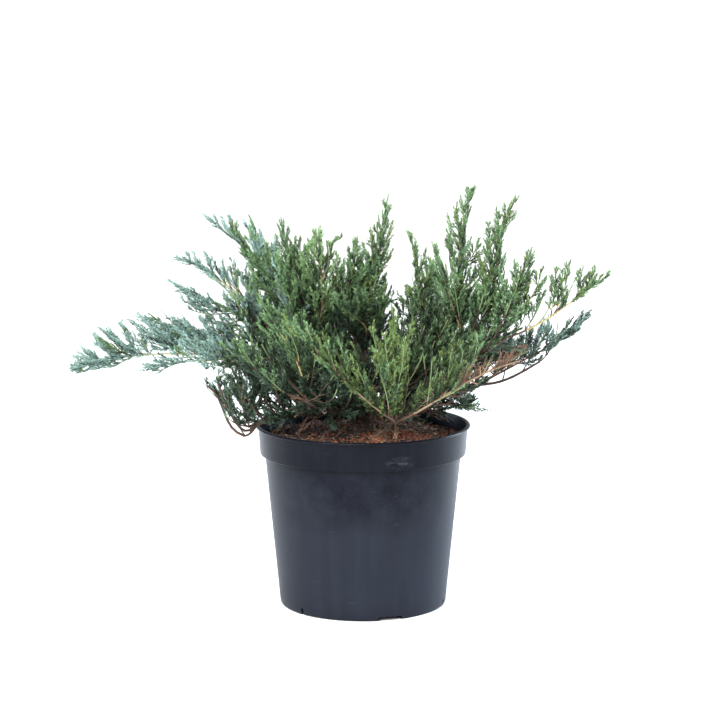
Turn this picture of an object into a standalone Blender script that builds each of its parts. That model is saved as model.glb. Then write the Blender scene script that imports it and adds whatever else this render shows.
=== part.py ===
"""A tamariscifolia savin juniper in its nursery pot, as a whole plant.

The pot stands on the flat boss and foot ring of its underside. A short trunk rises from the soil and
sends out curved boughs. Each bough ends in a fork of one to three foliage masses. A mass is one
three-sided stem with toothed blades, which stand for the feathery sprays of scale leaves, and it keeps
to the space that lies nearer to its own stem than to any other limb.

Units are metres, +Z is up, and the origin is the middle of the pot's underside. Azimuths are in degrees
from +X towards +Y, so 270 is the front. Pitches are in degrees above level.
"""

import itertools
import math
import random

import bpy
import numpy as np
from mathutils import Matrix, Vector

UP = Vector((0.0, 0.0, 1.0))
# A direction that no limb follows, from which the first side of its rings is taken
ASIDE = Vector((0.31, 0.22, 1.0))
# Neighbouring solids keep this far apart
SEAT_GAP = 0.0003

# Nursery pot
POT_SIDES = 32
RIM_HEIGHT = 0.238
LIP_RADIUS = 0.140
LIP_DEPTH = 0.0036
LIP_EDGE = 0.0008
COLLAR_RADIUS = 0.137
COLLAR_FOOT_RADIUS = 0.1345
COLLAR_HEIGHT = 0.038
BODY_TOP_RADIUS = 0.1283
BODY_FOOT_RADIUS = 0.1090
BASE_EDGE_HEIGHT = 0.003
FOOT_RADIUS = 0.1070
FOOT_INNER_RADIUS = 0.0985
BOSS_RADIUS = 0.040
UNDERSIDE_RISE = 0.006
UNDERSIDE_RUN = 0.004
POT_WALL = 0.002

# Drainage notches in the foot ring
NOTCH_PAIRS = 3
WIDE_NOTCH_AZIMUTH = 289
WIDE_NOTCH_WIDTH = 0.032
WIDE_NOTCH_HEIGHT = 0.005
NARROW_NOTCH_AZIMUTH = 224
NARROW_NOTCH_WIDTH = 0.0045
NARROW_NOTCH_HEIGHT = 0.009
NOTCH_REACH = 0.008
NOTCH_FOOT = -0.001

# Soil
SOIL_EDGE_DEPTH = 0.0185
SOIL_CROWN_HEIGHT = 0.2300
SOIL_SEAT_RADIUS = 0.026
SOIL_RINGS = 3
SOIL_ROUGHNESS = 0.0014
# Radians a metre of the two waves that make the soil uneven
SOIL_WAVE_X = 71
SOIL_WAVE_Y = 83
SOIL_WAVE_SLANT = 37

# Trunk
TRUNK_SIDES = 12
TRUNK_HEIGHT = 0.062
TRUNK_LEAN = 0.10
TRUNK_LEAN_AT_FOOT = 0.4
TRUNK_LEAN_AZIMUTH = 250
# Height and radius of each ring: the flared foot, the waist and the knobby head
TRUNK_RINGS = (
    (0.0, 0.0185),
    (0.0056, 0.0155),
    (0.016, 0.0125),
    (0.031, 0.0140),
    (0.047, 0.0155),
    (0.058, 0.0112),
)
ROOT_LOBES = 5
ROOT_LOBE_SHARE = 0.16
ROOT_FLARE_HEIGHT = 0.016

# Boughs
BOUGH_SIDES = 5
BOUGH_STEPS = 6
BOUGH_ROOT_REACH = 0.0056
BOUGH_ROOT_RADIUS = 0.0037
FORK_RADIUS = 0.0028
BOUGH_PULL = 0.36
# Height above the trunk's cut at which the low, middle and high boughs leave it
TIER_HEIGHTS = (0.0165, 0.0325, 0.0485)

# Foliage masses
STEM_SIDES = 3
STEM_STEPS = 5
STEM_ROOT_RADIUS = 0.0015
STEM_END_RADIUS = 0.0009
STEM_PULL = 0.38
FORK_AHEAD_SHARE = 0.6
FORK_SPREAD_TWO = 34
FORK_SPREAD_THREE = 40
STEM_END_SHARE = 0.86
LAST_SPRAY_SHARE = 0.80

# Sprays, in shares of the longest spray of their mass
SPRAY_SPACING = 0.024
LOWEST_SPRAY = 0.55
FULL_SPRAY_FROM = 0.3
TOP_SPRAY_LOSS = 0.55
SPRAY_LENGTH_CHANCE = 0.1
SPRAY_PLACE_CHANCE = 0.2
SPRAY_ANGLE_LOW = 42
SPRAY_ANGLE_HIGH = 28
SPRAY_LIFT = 0.20
SPRAY_BEND = 0.22
# Degrees that a spray turns from the stem's upper side: on a level stem, more on a steep one, by chance
SPRAY_TURN = 58
SPRAY_TURN_STEEP = 62
SPRAY_TURN_CHANCE = 26
SPRAY_ROLL_CHANCE = 40

# Blade of a spray, in shares of its length but for the thickness, the root and the long blade's length
SPRAY_THICKNESS = 0.0016
SPRAY_ROOT = 0.00042
LONG_SPRAY = 0.062
TEETH = 2
LONG_SPRAY_TEETH = 3
FIRST_TOOTH = 0.72
AFTER_LAST_TOOTH = 0.55
TOOTH_REACH = 0.27
TOOTH_LEAD = 0.10
NOTCH_WIDTH = 0.060
NOTCH_LEAD = 0.04
SPINE_LEAD = 0.01
TOOTH_TAPER = 0.5
LAST_SPRAY_LIFT = 0.3
# A spray is tried at these shares of its length, and at each with these angles, turns and rolls
SPRAY_TRIES = (1.45, 1.2, 1.0, 0.85, 0.7, 0.58, 0.46)
ANGLE_SHARES = (1.0, 1.35, 0.7)
TURN_SHIFTS = (0, 28, -28, 56, -56)
ROLL_SHIFTS = (0, 60)
LAST_SPRAY_WIDTHS = (1.0, 0.75, 0.5, 0.3, 0.12)
# A spray keeps these distances, so that the masses and limbs stay apart
SPACE_MARGIN = 0.0016
LIMB_MARGIN = 0.0012
POT_MARGIN = 0.003

# name: azimuth, reach and height of the fork; azimuth and tier of the foot; rise and pitch of the ends
BOUGHS = {
    "bough_left_low": (192, 0.139, 0.331, 190, 1, 30, 14),
    "bough_left_mid": (175, 0.119, 0.340, 172, 2, 30, 35),
    "bough_left_high": (154, 0.115, 0.375, 132, 2, 40, 42),
    "bough_top_left": (197, 0.066, 0.351, 214, 2, 45, 62),
    "bough_middle": (90, 0.026, 0.346, 82, 2, 62, 80),
    "bough_right_tall": (17, 0.096, 0.337, 26, 2, 30, 58),
    "bough_right": (352, 0.138, 0.343, 352, 2, 24, 50),
    "bough_right_far": (346, 0.185, 0.356, 336, 1, 25, 38),
    "bough_right_low": (16, 0.165, 0.284, 8, 0, 12, 22),
    "bough_front": (290, 0.122, 0.261, 286, 0, 10, 20),
    "bough_front_left": (235, 0.126, 0.288, 243, 0, 18, 35),
    "bough_left_hang": (198, 0.153, 0.241, 201, 0, 14, -20),
    "bough_front_low": (320, 0.115, 0.275, 327, 0, 14, 30),
    "bough_back_left": (128, 0.140, 0.332, 120, 1, 28, 35),
    "bough_back": (95, 0.135, 0.325, 90, 1, 30, 38),
    "bough_back_right": (55, 0.130, 0.322, 56, 1, 28, 38),
    "bough_back_left_low": (152, 0.145, 0.281, 152, 0, 12, 20),
    "bough_back_right_low": (38, 0.145, 0.281, 47, 0, 12, 20),
}

# name: bough; azimuth, reach and height of the tip; pitch there; longest spray; bare share; leaf tint
MASSES = {
    "foliage_left_low_tip": ("bough_left_low", 183, 0.382, 0.309, -22, 0.072, 0.10, "blue"),
    "foliage_left_low_under": ("bough_left_low", 194, 0.286, 0.322, -10, 0.042, 0.15, "blue"),
    "foliage_left_mid_tip": ("bough_left_mid", 174, 0.250, 0.420, 34, 0.042, 0.12, "blue"),
    "foliage_left_mid_low": ("bough_left_mid", 180, 0.287, 0.376, 12, 0.055, 0.12, "blue"),
    "foliage_left_high_tip": ("bough_left_high", 164, 0.253, 0.446, 16, 0.052, 0.12, "blue"),
    "foliage_left_top": ("bough_left_high", 167, 0.208, 0.501, 36, 0.062, 0.10, "blue"),
    "foliage_top_left_outer": ("bough_top_left", 191, 0.151, 0.500, 62, 0.055, 0.08, "blue"),
    "foliage_top_left_inner": ("bough_top_left", 164, 0.110, 0.497, 72, 0.055, 0.08, "green"),
    "foliage_top_middle": ("bough_top_left", 182, 0.056, 0.489, 80, 0.060, 0.08, "pale"),
    "foliage_middle_tip": ("bough_middle", 44, 0.043, 0.523, 80, 0.055, 0.08, "green"),
    "foliage_middle_left": ("bough_middle", 250, 0.030, 0.478, 80, 0.055, 0.08, "green"),
    "foliage_inner_front": ("bough_middle", 252, 0.102, 0.413, 35, 0.055, 0.10, "green"),
    "foliage_right_tall": ("bough_right_tall", 8, 0.146, 0.549, 66, 0.060, 0.08, "green"),
    "foliage_right_lean": ("bough_right_tall", 39, 0.079, 0.477, 62, 0.044, 0.12, "green"),
    "foliage_right_second": ("bough_right", 351, 0.196, 0.531, 57, 0.055, 0.10, "green"),
    "foliage_right_spike": ("bough_right", 348, 0.095, 0.471, 74, 0.040, 0.12, "green"),
    "foliage_right_far": ("bough_right_far", 355, 0.321, 0.438, 30, 0.048, 0.42, "green"),
    "foliage_right_short": ("bough_right_far", 344, 0.221, 0.466, 66, 0.050, 0.10, "green"),
    "foliage_right_low": ("bough_right_low", 11, 0.303, 0.373, 46, 0.052, 0.25, "dark"),
    "foliage_right_dead": ("bough_right_low", 357, 0.215, 0.335, 20, 0.032, 0.15, "dead"),
    "foliage_front_left": ("bough_front", 245, 0.220, 0.401, 46, 0.060, 0.14, "yellow"),
    "foliage_front_mid": ("bough_front", 280, 0.206, 0.413, 80, 0.050, 0.20, "yellow"),
    "foliage_front_right": ("bough_front", 317, 0.265, 0.350, 16, 0.055, 0.20, "yellow"),
    "foliage_front_left_low": ("bough_front_left", 220, 0.230, 0.364, 30, 0.055, 0.10, "dark"),
    "foliage_front_left_up": ("bough_front_left", 230, 0.195, 0.420, 60, 0.058, 0.10, "green"),
    "foliage_hang_outer": ("bough_left_hang", 186, 0.196, 0.289, 58, 0.034, 0.30, "dark"),
    "foliage_hang_inner": ("bough_left_hang", 203, 0.172, 0.318, 82, 0.050, 0.25, "dark"),
    "foliage_front_low_up": ("bough_front_low", 316, 0.164, 0.358, 60, 0.055, 0.10, "yellow"),
    "foliage_front_low_out": ("bough_front_low", 346, 0.164, 0.266, 5, 0.034, 0.15, "dark"),
    "foliage_back_left_out": ("bough_back_left", 132, 0.310, 0.398, 22, 0.060, 0.10, "green"),
    "foliage_back_left_up": ("bough_back_left", 118, 0.215, 0.440, 58, 0.060, 0.10, "green"),
    "foliage_back_out": ("bough_back", 97, 0.315, 0.350, 12, 0.060, 0.10, "green"),
    "foliage_back_up": ("bough_back", 100, 0.185, 0.418, 60, 0.058, 0.10, "green"),
    "foliage_back_low": ("bough_back", 76, 0.235, 0.292, -8, 0.050, 0.12, "dark"),
    "foliage_back_right_out": ("bough_back_right", 52, 0.295, 0.375, 20, 0.060, 0.10, "green"),
    "foliage_back_right_up": ("bough_back_right", 60, 0.190, 0.425, 60, 0.055, 0.10, "green"),
    "foliage_back_left_low": ("bough_back_left_low", 152, 0.275, 0.330, 16, 0.060, 0.10, "dark"),
    "foliage_back_right_low": ("bough_back_right_low", 34, 0.270, 0.312, 12, 0.060, 0.10, "dark"),
}

# Leaf colours, each a linear RGB triple
LEAF_TINTS = {
    "blue": (0.045, 0.120, 0.085),
    "green": (0.055, 0.130, 0.050),
    "pale": (0.110, 0.200, 0.090),
    "yellow": (0.130, 0.200, 0.055),
    "dark": (0.025, 0.065, 0.035),
    "dead": (0.160, 0.090, 0.050),
}


def clear_scene():
    """Remove every object that the file opened with."""
    for thing in list(bpy.data.objects):
        bpy.data.objects.remove(thing, do_unlink=True)


def make_material(name, colour, roughness):
    """Return the Principled material of this name, made on first use."""
    found = bpy.data.materials.get(name)
    if found:
        return found
    material = bpy.data.materials.new(name)
    material.use_nodes = True
    shader = material.node_tree.nodes["Principled BSDF"]
    shader.inputs["Base Color"].default_value = (*colour, 1.0)
    shader.inputs["Roughness"].default_value = roughness
    shader.inputs["Metallic"].default_value = 0.0
    return material


def make_solid(name, points, faces, material, sharp_angle=None):
    """Make a mesh object from points and faces, shaded smooth if a sharp angle is given."""
    mesh = bpy.data.meshes.new(name)
    mesh.from_pydata([tuple(point) for point in points], [], faces)
    mesh.materials.append(material)
    mesh.validate()
    if sharp_angle is not None:
        mesh.shade_smooth()
        mesh.set_sharp_from_angle(angle=math.radians(sharp_angle))
    thing = bpy.data.objects.new(name, mesh)
    bpy.context.scene.collection.objects.link(thing)
    return thing


def polar(azimuth, reach, height):
    """The point at an azimuth, a distance from the axis and a height."""
    turn = math.radians(azimuth)
    return Vector((reach * math.cos(turn), reach * math.sin(turn), height))


def heading(azimuth, pitch):
    """The unit direction with this azimuth and this angle above level."""
    slope = math.radians(pitch)
    return polar(azimuth, math.cos(slope), math.sin(slope))


def square_to(axis, wanted):
    """The unit vector nearest to the wanted one that stands square to the axis."""
    flat = wanted - axis * wanted.dot(axis)
    return flat.normalized()


def smooth_step(value):
    """Ease from 0 to 1."""
    clamped = min(max(value, 0.0), 1.0)
    return clamped * clamped * (3 - 2 * clamped)


# Rings and lofts


def ring_faces(first, second, sides):
    """Quads between two rings of points, which start at these indices."""
    faces = []
    for side in range(sides):
        after = (side + 1) % sides
        faces.append((first + side, first + after, second + after, second + side))
    return faces


def fan_faces(tip, first, sides, outward):
    """Triangles from one point to a ring, wound for a cap at the end or at the start."""
    faces = []
    for side in range(sides):
        after = (side + 1) % sides
        edge = (first + side, first + after) if outward else (first + after, first + side)
        faces.append((*edge, tip))
    return faces


def turned_faces(rings, sides):
    """Faces of a turned solid: a point, then rings, then a point, wound to face out."""
    first = 1
    last = 1 + (rings - 1) * sides
    faces = fan_faces(0, first, sides, False)
    for ring in range(rings - 1):
        faces += ring_faces(first + ring * sides, first + (ring + 1) * sides, sides)
    return faces + fan_faces(last + sides, last, sides, True)


def turned_points(profile, sides):
    """Points of a solid turned about Z from a profile that starts and ends on the axis."""
    points = [Vector((0, 0, profile[0][1]))]
    for radius, height in profile[1:-1]:
        points += [polar(360 * side / sides, radius, height) for side in range(sides)]
    return points + [Vector((0, 0, profile[-1][1]))]


# Pot and soil


def offset_profile(profile, distance):
    """Move an open profile to its left by a distance, with mitred corners."""
    moved = []
    normals = []
    for (r0, z0), (r1, z1) in zip(profile, profile[1:]):
        length = math.hypot(r1 - r0, z1 - z0)
        normals.append(((z0 - z1) / length, (r1 - r0) / length))
    normals = [normals[0], *normals, normals[-1]]
    for (radius, height), (ar, az), (br, bz) in zip(profile, normals, normals[1:]):
        share = distance / (1 + ar * br + az * bz)
        moved.append((radius + share * (ar + br), height + share * (az + bz)))
    return moved


def pot_outside():
    """The pot's outer profile from the middle of its underside up to its rim, without the lip."""
    collar_foot = RIM_HEIGHT - COLLAR_HEIGHT
    return [
        (0.0, 0.0),
        (BOSS_RADIUS, 0.0),
        (BOSS_RADIUS + UNDERSIDE_RUN, UNDERSIDE_RISE),
        (FOOT_INNER_RADIUS - UNDERSIDE_RUN, UNDERSIDE_RISE),
        (FOOT_INNER_RADIUS, 0.0),
        (FOOT_RADIUS, 0.0),
        (BODY_FOOT_RADIUS, BASE_EDGE_HEIGHT),
        (BODY_TOP_RADIUS, collar_foot),
        (COLLAR_FOOT_RADIUS, collar_foot),
        (COLLAR_RADIUS, RIM_HEIGHT),
    ]


def pot_inside():
    """The pot's inner profile, a wall's thickness inside the outer one, ending level with the rim."""
    profile = offset_profile(pot_outside(), POT_WALL)
    return [*profile[:-1], (profile[-1][0], RIM_HEIGHT)]


def build_pot():
    """The nursery pot: turned walls with a lip and collar, and drainage notches in its foot ring."""
    lip = [
        (COLLAR_RADIUS, RIM_HEIGHT - LIP_DEPTH),
        (LIP_RADIUS, RIM_HEIGHT - LIP_DEPTH + LIP_EDGE),
        (LIP_RADIUS, RIM_HEIGHT - LIP_EDGE),
        (LIP_RADIUS - LIP_EDGE, RIM_HEIGHT),
    ]
    profile = [*pot_outside()[:-1], *lip, *reversed(pot_inside())]
    faces = turned_faces(len(profile) - 2, POT_SIDES)
    plastic = make_material("pot_plastic", (0.022, 0.027, 0.036), 0.42)
    pot = make_solid("pot", turned_points(profile, POT_SIDES), faces, plastic, 30)
    cutter = build_notch_cutter()
    cut = pot.modifiers.new("drainage notches", "BOOLEAN")
    cut.operation = "DIFFERENCE"
    cut.object = cutter
    return pot


def build_notch_cutter():
    """One mesh of boxes, which cuts the wide and the narrow notches out of the foot ring."""
    points = []
    faces = []
    kinds = (
        (WIDE_NOTCH_AZIMUTH, WIDE_NOTCH_WIDTH, WIDE_NOTCH_HEIGHT),
        (NARROW_NOTCH_AZIMUTH, NARROW_NOTCH_WIDTH, NARROW_NOTCH_HEIGHT),
    )
    for turn in range(NOTCH_PAIRS):
        for azimuth, width, height in kinds:
            turned = Matrix.Rotation(math.radians(azimuth + 360 * turn / NOTCH_PAIRS), 3, "Z")
            first = len(points)
            for near in (FOOT_INNER_RADIUS, BODY_FOOT_RADIUS + NOTCH_REACH):
                for side in (-width / 2, width / 2):
                    for level in (NOTCH_FOOT, height):
                        points.append(turned @ Vector((near, side, level)))
            for quad in ((0, 1, 3, 2), (4, 6, 7, 5), (0, 4, 5, 1), (2, 3, 7, 6), (0, 2, 6, 4), (1, 5, 7, 3)):
                faces.append(tuple(first + corner for corner in quad))
    plain = make_material("cutter", (0.5, 0.5, 0.5), 0.5)
    cutter = make_solid("notch_cutter", points, faces, plain)
    cutter.hide_render = True
    cutter.display_type = "WIRE"
    return cutter


def soil_height(point):
    """Height of the soil's surface, mounded towards the trunk and gently uneven."""
    edge = pot_inside()[-1][0]
    edge_height = RIM_HEIGHT - SOIL_EDGE_DEPTH
    reach = math.hypot(point.x, point.y)
    share = smooth_step((reach - SOIL_SEAT_RADIUS) / (edge - SOIL_SEAT_RADIUS))
    waves = math.sin(point.x * SOIL_WAVE_X + 1) + math.sin(point.y * SOIL_WAVE_Y + point.x * SOIL_WAVE_SLANT)
    uneven = SOIL_ROUGHNESS * waves * smooth_step((reach - SOIL_SEAT_RADIUS) / SOIL_SEAT_RADIUS)
    return SOIL_CROWN_HEIGHT + (edge_height - SOIL_CROWN_HEIGHT) * share + uneven


def build_soil():
    """The soil that fills the pot, a seat's gap clear of its floor and walls."""
    inside = offset_profile(pot_inside(), SEAT_GAP)
    edge_height = RIM_HEIGHT - SOIL_EDGE_DEPTH
    (low_radius, low_height), (top_radius, top_height) = inside[-2:]
    share = (edge_height - low_height) / (top_height - low_height)
    edge_radius = low_radius + share * (top_radius - low_radius)
    profile = [*inside[:-1], (edge_radius, edge_height)]
    for ring in range(1, SOIL_RINGS + 1):
        radius = edge_radius + (SOIL_SEAT_RADIUS - edge_radius) * ring / SOIL_RINGS
        profile.append((radius, SOIL_CROWN_HEIGHT))
    profile.append((0.0, SOIL_CROWN_HEIGHT))
    points = turned_points(profile, POT_SIDES)
    first_top = len(points) - 1 - (SOIL_RINGS + 1) * POT_SIDES
    for point in points[first_top:-1]:
        point.z = soil_height(point)
    soil = make_material("potting_soil", (0.060, 0.028, 0.014), 0.95)
    return make_solid("soil", points, turned_faces(len(profile) - 2, POT_SIDES), soil)


# Limbs


class Limb:
    """A tapering limb along a cubic curve that leaves and arrives in given directions."""

    def __init__(self, start, leave, end, arrive, radii, pull):
        reach = (end - start).length * pull
        self.controls = (start, start + leave * reach, end - arrive * reach, end)
        self.radii = radii

    def point(self, share):
        a, b, c, d = self.controls
        rest = 1 - share
        return a * rest**3 + b * (3 * rest**2 * share) + c * (3 * rest * share**2) + d * share**3

    def tangent(self, share):
        a, b, c, d = self.controls
        rest = 1 - share
        slope = (b - a) * rest**2 + (c - b) * (2 * rest * share) + (d - c) * share**2
        return slope.normalized()

    def radius(self, share):
        root, end = self.radii
        return root + (end - root) * share

    def length(self, steps=16):
        points = [self.point(step / steps) for step in range(steps + 1)]
        return sum((after - before).length for before, after in zip(points, points[1:]))


def limb_rings(limb, shares, sides):
    """Rings of points square to a limb, turned as little as possible from one to the next."""
    points = []
    side = square_to(limb.tangent(shares[0]), ASIDE)
    for share in shares:
        along = limb.tangent(share)
        side = square_to(along, side)
        across = along.cross(side)
        for corner in range(sides):
            turn = 2 * math.pi * corner / sides
            out = side * math.cos(turn) + across * math.sin(turn)
            points.append(limb.point(share) + out * limb.radius(share))
    return points


def build_limb(name, limb, sides, shares, round_tip, material):
    """A solid limb with a flat root, and a tip that is either rounded or flat."""
    points = limb_rings(limb, shares, sides)
    end = limb.point(shares[-1])
    along = limb.tangent(shares[-1])
    radius = limb.radius(shares[-1])
    if round_tip:
        last_ring = points[-sides:]
        tip_share = math.sqrt(0.5)
        points += [end + (point - end) * tip_share + along * radius * tip_share for point in last_ring]
    rings = len(points) // sides
    points.insert(0, limb.point(shares[0]))
    points.append(end + along * radius if round_tip else end)
    return make_solid(name, points, turned_faces(rings, sides), material)


def trunk_axis(height):
    """The trunk's centre at a height above its flat cut, leaning and slightly bowed."""
    lean = TRUNK_LEAN * height * (TRUNK_LEAN_AT_FOOT + height / TRUNK_HEIGHT)
    return polar(TRUNK_LEAN_AZIMUTH, lean, SOIL_CROWN_HEIGHT + SEAT_GAP + height)


def trunk_points(extra):
    """The trunk's points, grown by an extra thickness on all sides."""
    points = [trunk_axis(-extra)]
    for height, radius in TRUNK_RINGS:
        level = height - extra if height == 0 else height
        flare = max(0.0, 1 - height / ROOT_FLARE_HEIGHT)
        for side in range(TRUNK_SIDES):
            turn = 360 * side / TRUNK_SIDES
            lobe = 1 + ROOT_LOBE_SHARE * flare * math.cos(math.radians(ROOT_LOBES * turn))
            points.append(trunk_axis(level) + polar(turn, radius * lobe + extra, 0))
    return [*points, trunk_axis(TRUNK_HEIGHT + extra)]


def build_trunk():
    """The short trunk, from its flat cut on the soil to the head that the boughs leave."""
    bark = make_material("juniper_bark", (0.125, 0.062, 0.035), 0.85)
    faces = turned_faces(len(TRUNK_RINGS), TRUNK_SIDES)
    trunk = make_solid("trunk", trunk_points(0.0), faces, bark, 40)
    cutter = make_solid("trunk_clearance", trunk_points(SEAT_GAP), faces, bark)
    cutter.hide_render = True
    cutter.display_type = "WIRE"
    return trunk, cutter


def bough_limb(row):
    """The curve of a bough from its foot inside the trunk to its fork."""
    azimuth, reach, height, foot_azimuth, tier, rise, pitch = row
    tier_height = TIER_HEIGHTS[tier]
    foot = trunk_axis(tier_height) + polar(foot_azimuth, BOUGH_ROOT_REACH, 0)
    fork = polar(azimuth, reach, height)
    level = Vector((fork.x - foot.x, fork.y - foot.y, 0)).normalized()
    slope = math.radians(pitch)
    arrive = level * math.cos(slope) + UP * math.sin(slope)
    leave = heading(foot_azimuth, rise)
    return Limb(foot, leave, fork, arrive, (BOUGH_ROOT_RADIUS, FORK_RADIUS), BOUGH_PULL)


def build_bough(name, limb, trunk_cutter):
    """A bough with a ball of a fork at its end, cut where it would enter the trunk."""
    bark = make_material("juniper_bark", (0.125, 0.062, 0.035), 0.85)
    shares = [step / BOUGH_STEPS for step in range(BOUGH_STEPS + 1)]
    bough = build_limb(name, limb, BOUGH_SIDES, shares, True, bark)
    cut = bough.modifiers.new("seat on trunk", "BOOLEAN")
    cut.operation = "DIFFERENCE"
    cut.object = trunk_cutter
    return bough


# Stems of the foliage masses


def fork_directions(bough, tips):
    """The direction in which each mass leaves its bough's fork, spread so that the stems stay apart."""
    fork = bough.point(1.0)
    chords = [(tip - fork).normalized() for tip in tips]
    middle = bough.tangent(1.0) * FORK_AHEAD_SHARE
    for chord in chords:
        middle = middle + chord
    middle.normalize()
    if len(tips) == 1:
        return [middle]
    if len(tips) == 2:
        apart = square_to(middle, chords[0] - chords[1])
        spread = math.radians(FORK_SPREAD_TWO)
        return [middle * math.cos(spread) + apart * side * math.sin(spread) for side in (1, -1)]
    return three_way_directions(middle, chords)


def three_way_directions(middle, chords):
    """Three directions a third of a turn apart round the middle one, each nearest to its own chord."""
    first = square_to(middle, chords[0])
    second = middle.cross(first)
    angles = [math.atan2(chord.dot(second), chord.dot(first)) % (2 * math.pi) for chord in chords]
    order = sorted(range(3), key=lambda index: angles[index])
    third = 2 * math.pi / 3
    start = sum(angles[index] - third * place for place, index in enumerate(order)) / 3
    spread = math.radians(FORK_SPREAD_THREE)
    directions = [None, None, None]
    for place, index in enumerate(order):
        turn = start + third * place
        out = first * math.cos(turn) + second * math.sin(turn)
        directions[index] = middle * math.cos(spread) + out * math.sin(spread)
    return directions


def stem_limb(bough, leave, row):
    """The curve of a mass's stem, from a seat's gap outside the fork to the tip of the mass."""
    _, azimuth, reach, height, pitch = row[:5]
    start = bough.point(1.0) + leave * (FORK_RADIUS + SEAT_GAP)
    tip = polar(azimuth, reach, height)
    level = Vector((tip.x - start.x, tip.y - start.y, 0)).normalized()
    slope = math.radians(pitch)
    arrive = level * math.cos(slope) + UP * math.sin(slope)
    return Limb(start, leave, tip, arrive, (STEM_ROOT_RADIUS, STEM_END_RADIUS), STEM_PULL)


def all_stems(boughs):
    """Every mass's stem by name, with the masses of one fork spread apart."""
    stems = {}
    for bough_name, bough in boughs.items():
        names = [name for name, row in MASSES.items() if row[0] == bough_name]
        tips = [polar(*MASSES[name][1:4]) for name in names]
        for name, leave in zip(names, fork_directions(bough, tips)):
            stems[name] = stem_limb(bough, leave, MASSES[name])
    return stems


# Space of each mass


class Space:
    """Distances from any point to the limbs, which tell whose space the point lies in."""

    def __init__(self, boughs, stems, steps=14):
        starts, ends, self.owners, radii = [], [], [], []
        foot_radius = TRUNK_RINGS[0][1]
        trunk = Limb(trunk_axis(0), UP, trunk_axis(TRUNK_HEIGHT), UP, (foot_radius, foot_radius), STEM_PULL)
        for name, limb in {"trunk": trunk, **boughs, **stems}.items():
            for step in range(steps):
                starts.append(limb.point(step / steps))
                ends.append(limb.point((step + 1) / steps))
                radii.append(limb.radius(step / steps))
                self.owners.append(name)
        self.starts = np.array(starts)
        self.runs = np.array(ends) - self.starts
        self.radii = np.array(radii)
        self.owners = np.array(self.owners)
        self.is_stem = np.isin(self.owners, list(stems))

    def distances(self, points):
        """Distance from each point to each stretch of limb."""
        towards = np.array(points)[:, None] - self.starts[None]
        share = (towards * self.runs).sum(2) / (self.runs**2).sum(1)
        return np.linalg.norm(towards - self.runs * np.clip(share, 0, 1)[..., None], axis=2)

    def holds(self, points, owner):
        """Whether every point lies well inside the owner's space."""
        distances = self.distances(points)
        own = self.owners == owner
        others = self.is_stem & ~own
        nearer = distances[:, own].min(1) + SPACE_MARGIN < distances[:, others].min(1)
        limbs = ~self.is_stem
        clear = (distances[:, limbs] - self.radii[limbs]).min(1) > LIMB_MARGIN
        return bool((nearer & clear).all())


def clear_of_pot(point):
    """Whether a point is above the soil and outside the pot's walls, with a margin."""
    reach = math.hypot(point.x, point.y)
    if reach > LIP_RADIUS + POT_MARGIN or point.z > RIM_HEIGHT + POT_MARGIN:
        return True
    inner = COLLAR_FOOT_RADIUS - POT_WALL - POT_MARGIN
    return reach < inner and point.z > soil_height(point) + POT_MARGIN


# Sprays


def spray_length(width, share):
    """Length of a spray by its place along the leafy part of the stem, longest a third of the way up."""
    grown = LOWEST_SPRAY + (1 - LOWEST_SPRAY) * smooth_step(share / FULL_SPRAY_FROM)
    return width * grown * (1 - TOP_SPRAY_LOSS * share**1.5)


def spray_direction(along, share, turn, angle_share):
    """Direction of a spray that leaves a stem at a turn from the stem's upper side."""
    upper = square_to(along, UP + Vector((along.y, -along.x, 0)) * 0.02)
    out = Matrix.Rotation(turn, 3, along) @ upper
    angle = math.radians(SPRAY_ANGLE_LOW + (SPRAY_ANGLE_HIGH - SPRAY_ANGLE_LOW) * share) * angle_share
    return (along * math.cos(angle) + out * math.sin(angle) + UP * SPRAY_LIFT).normalized()


def spray_turn(along, place, chance):
    """Turn of the next spray round its stem: left and right of the upper side, wider on a steep stem."""
    steep = abs(along.z)
    side = 1 if place % 2 else -1
    chance_turn = chance.uniform(-SPRAY_TURN_CHANCE, SPRAY_TURN_CHANCE)
    return side * math.radians(SPRAY_TURN + SPRAY_TURN_STEEP * steep**2 + chance_turn)


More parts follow.
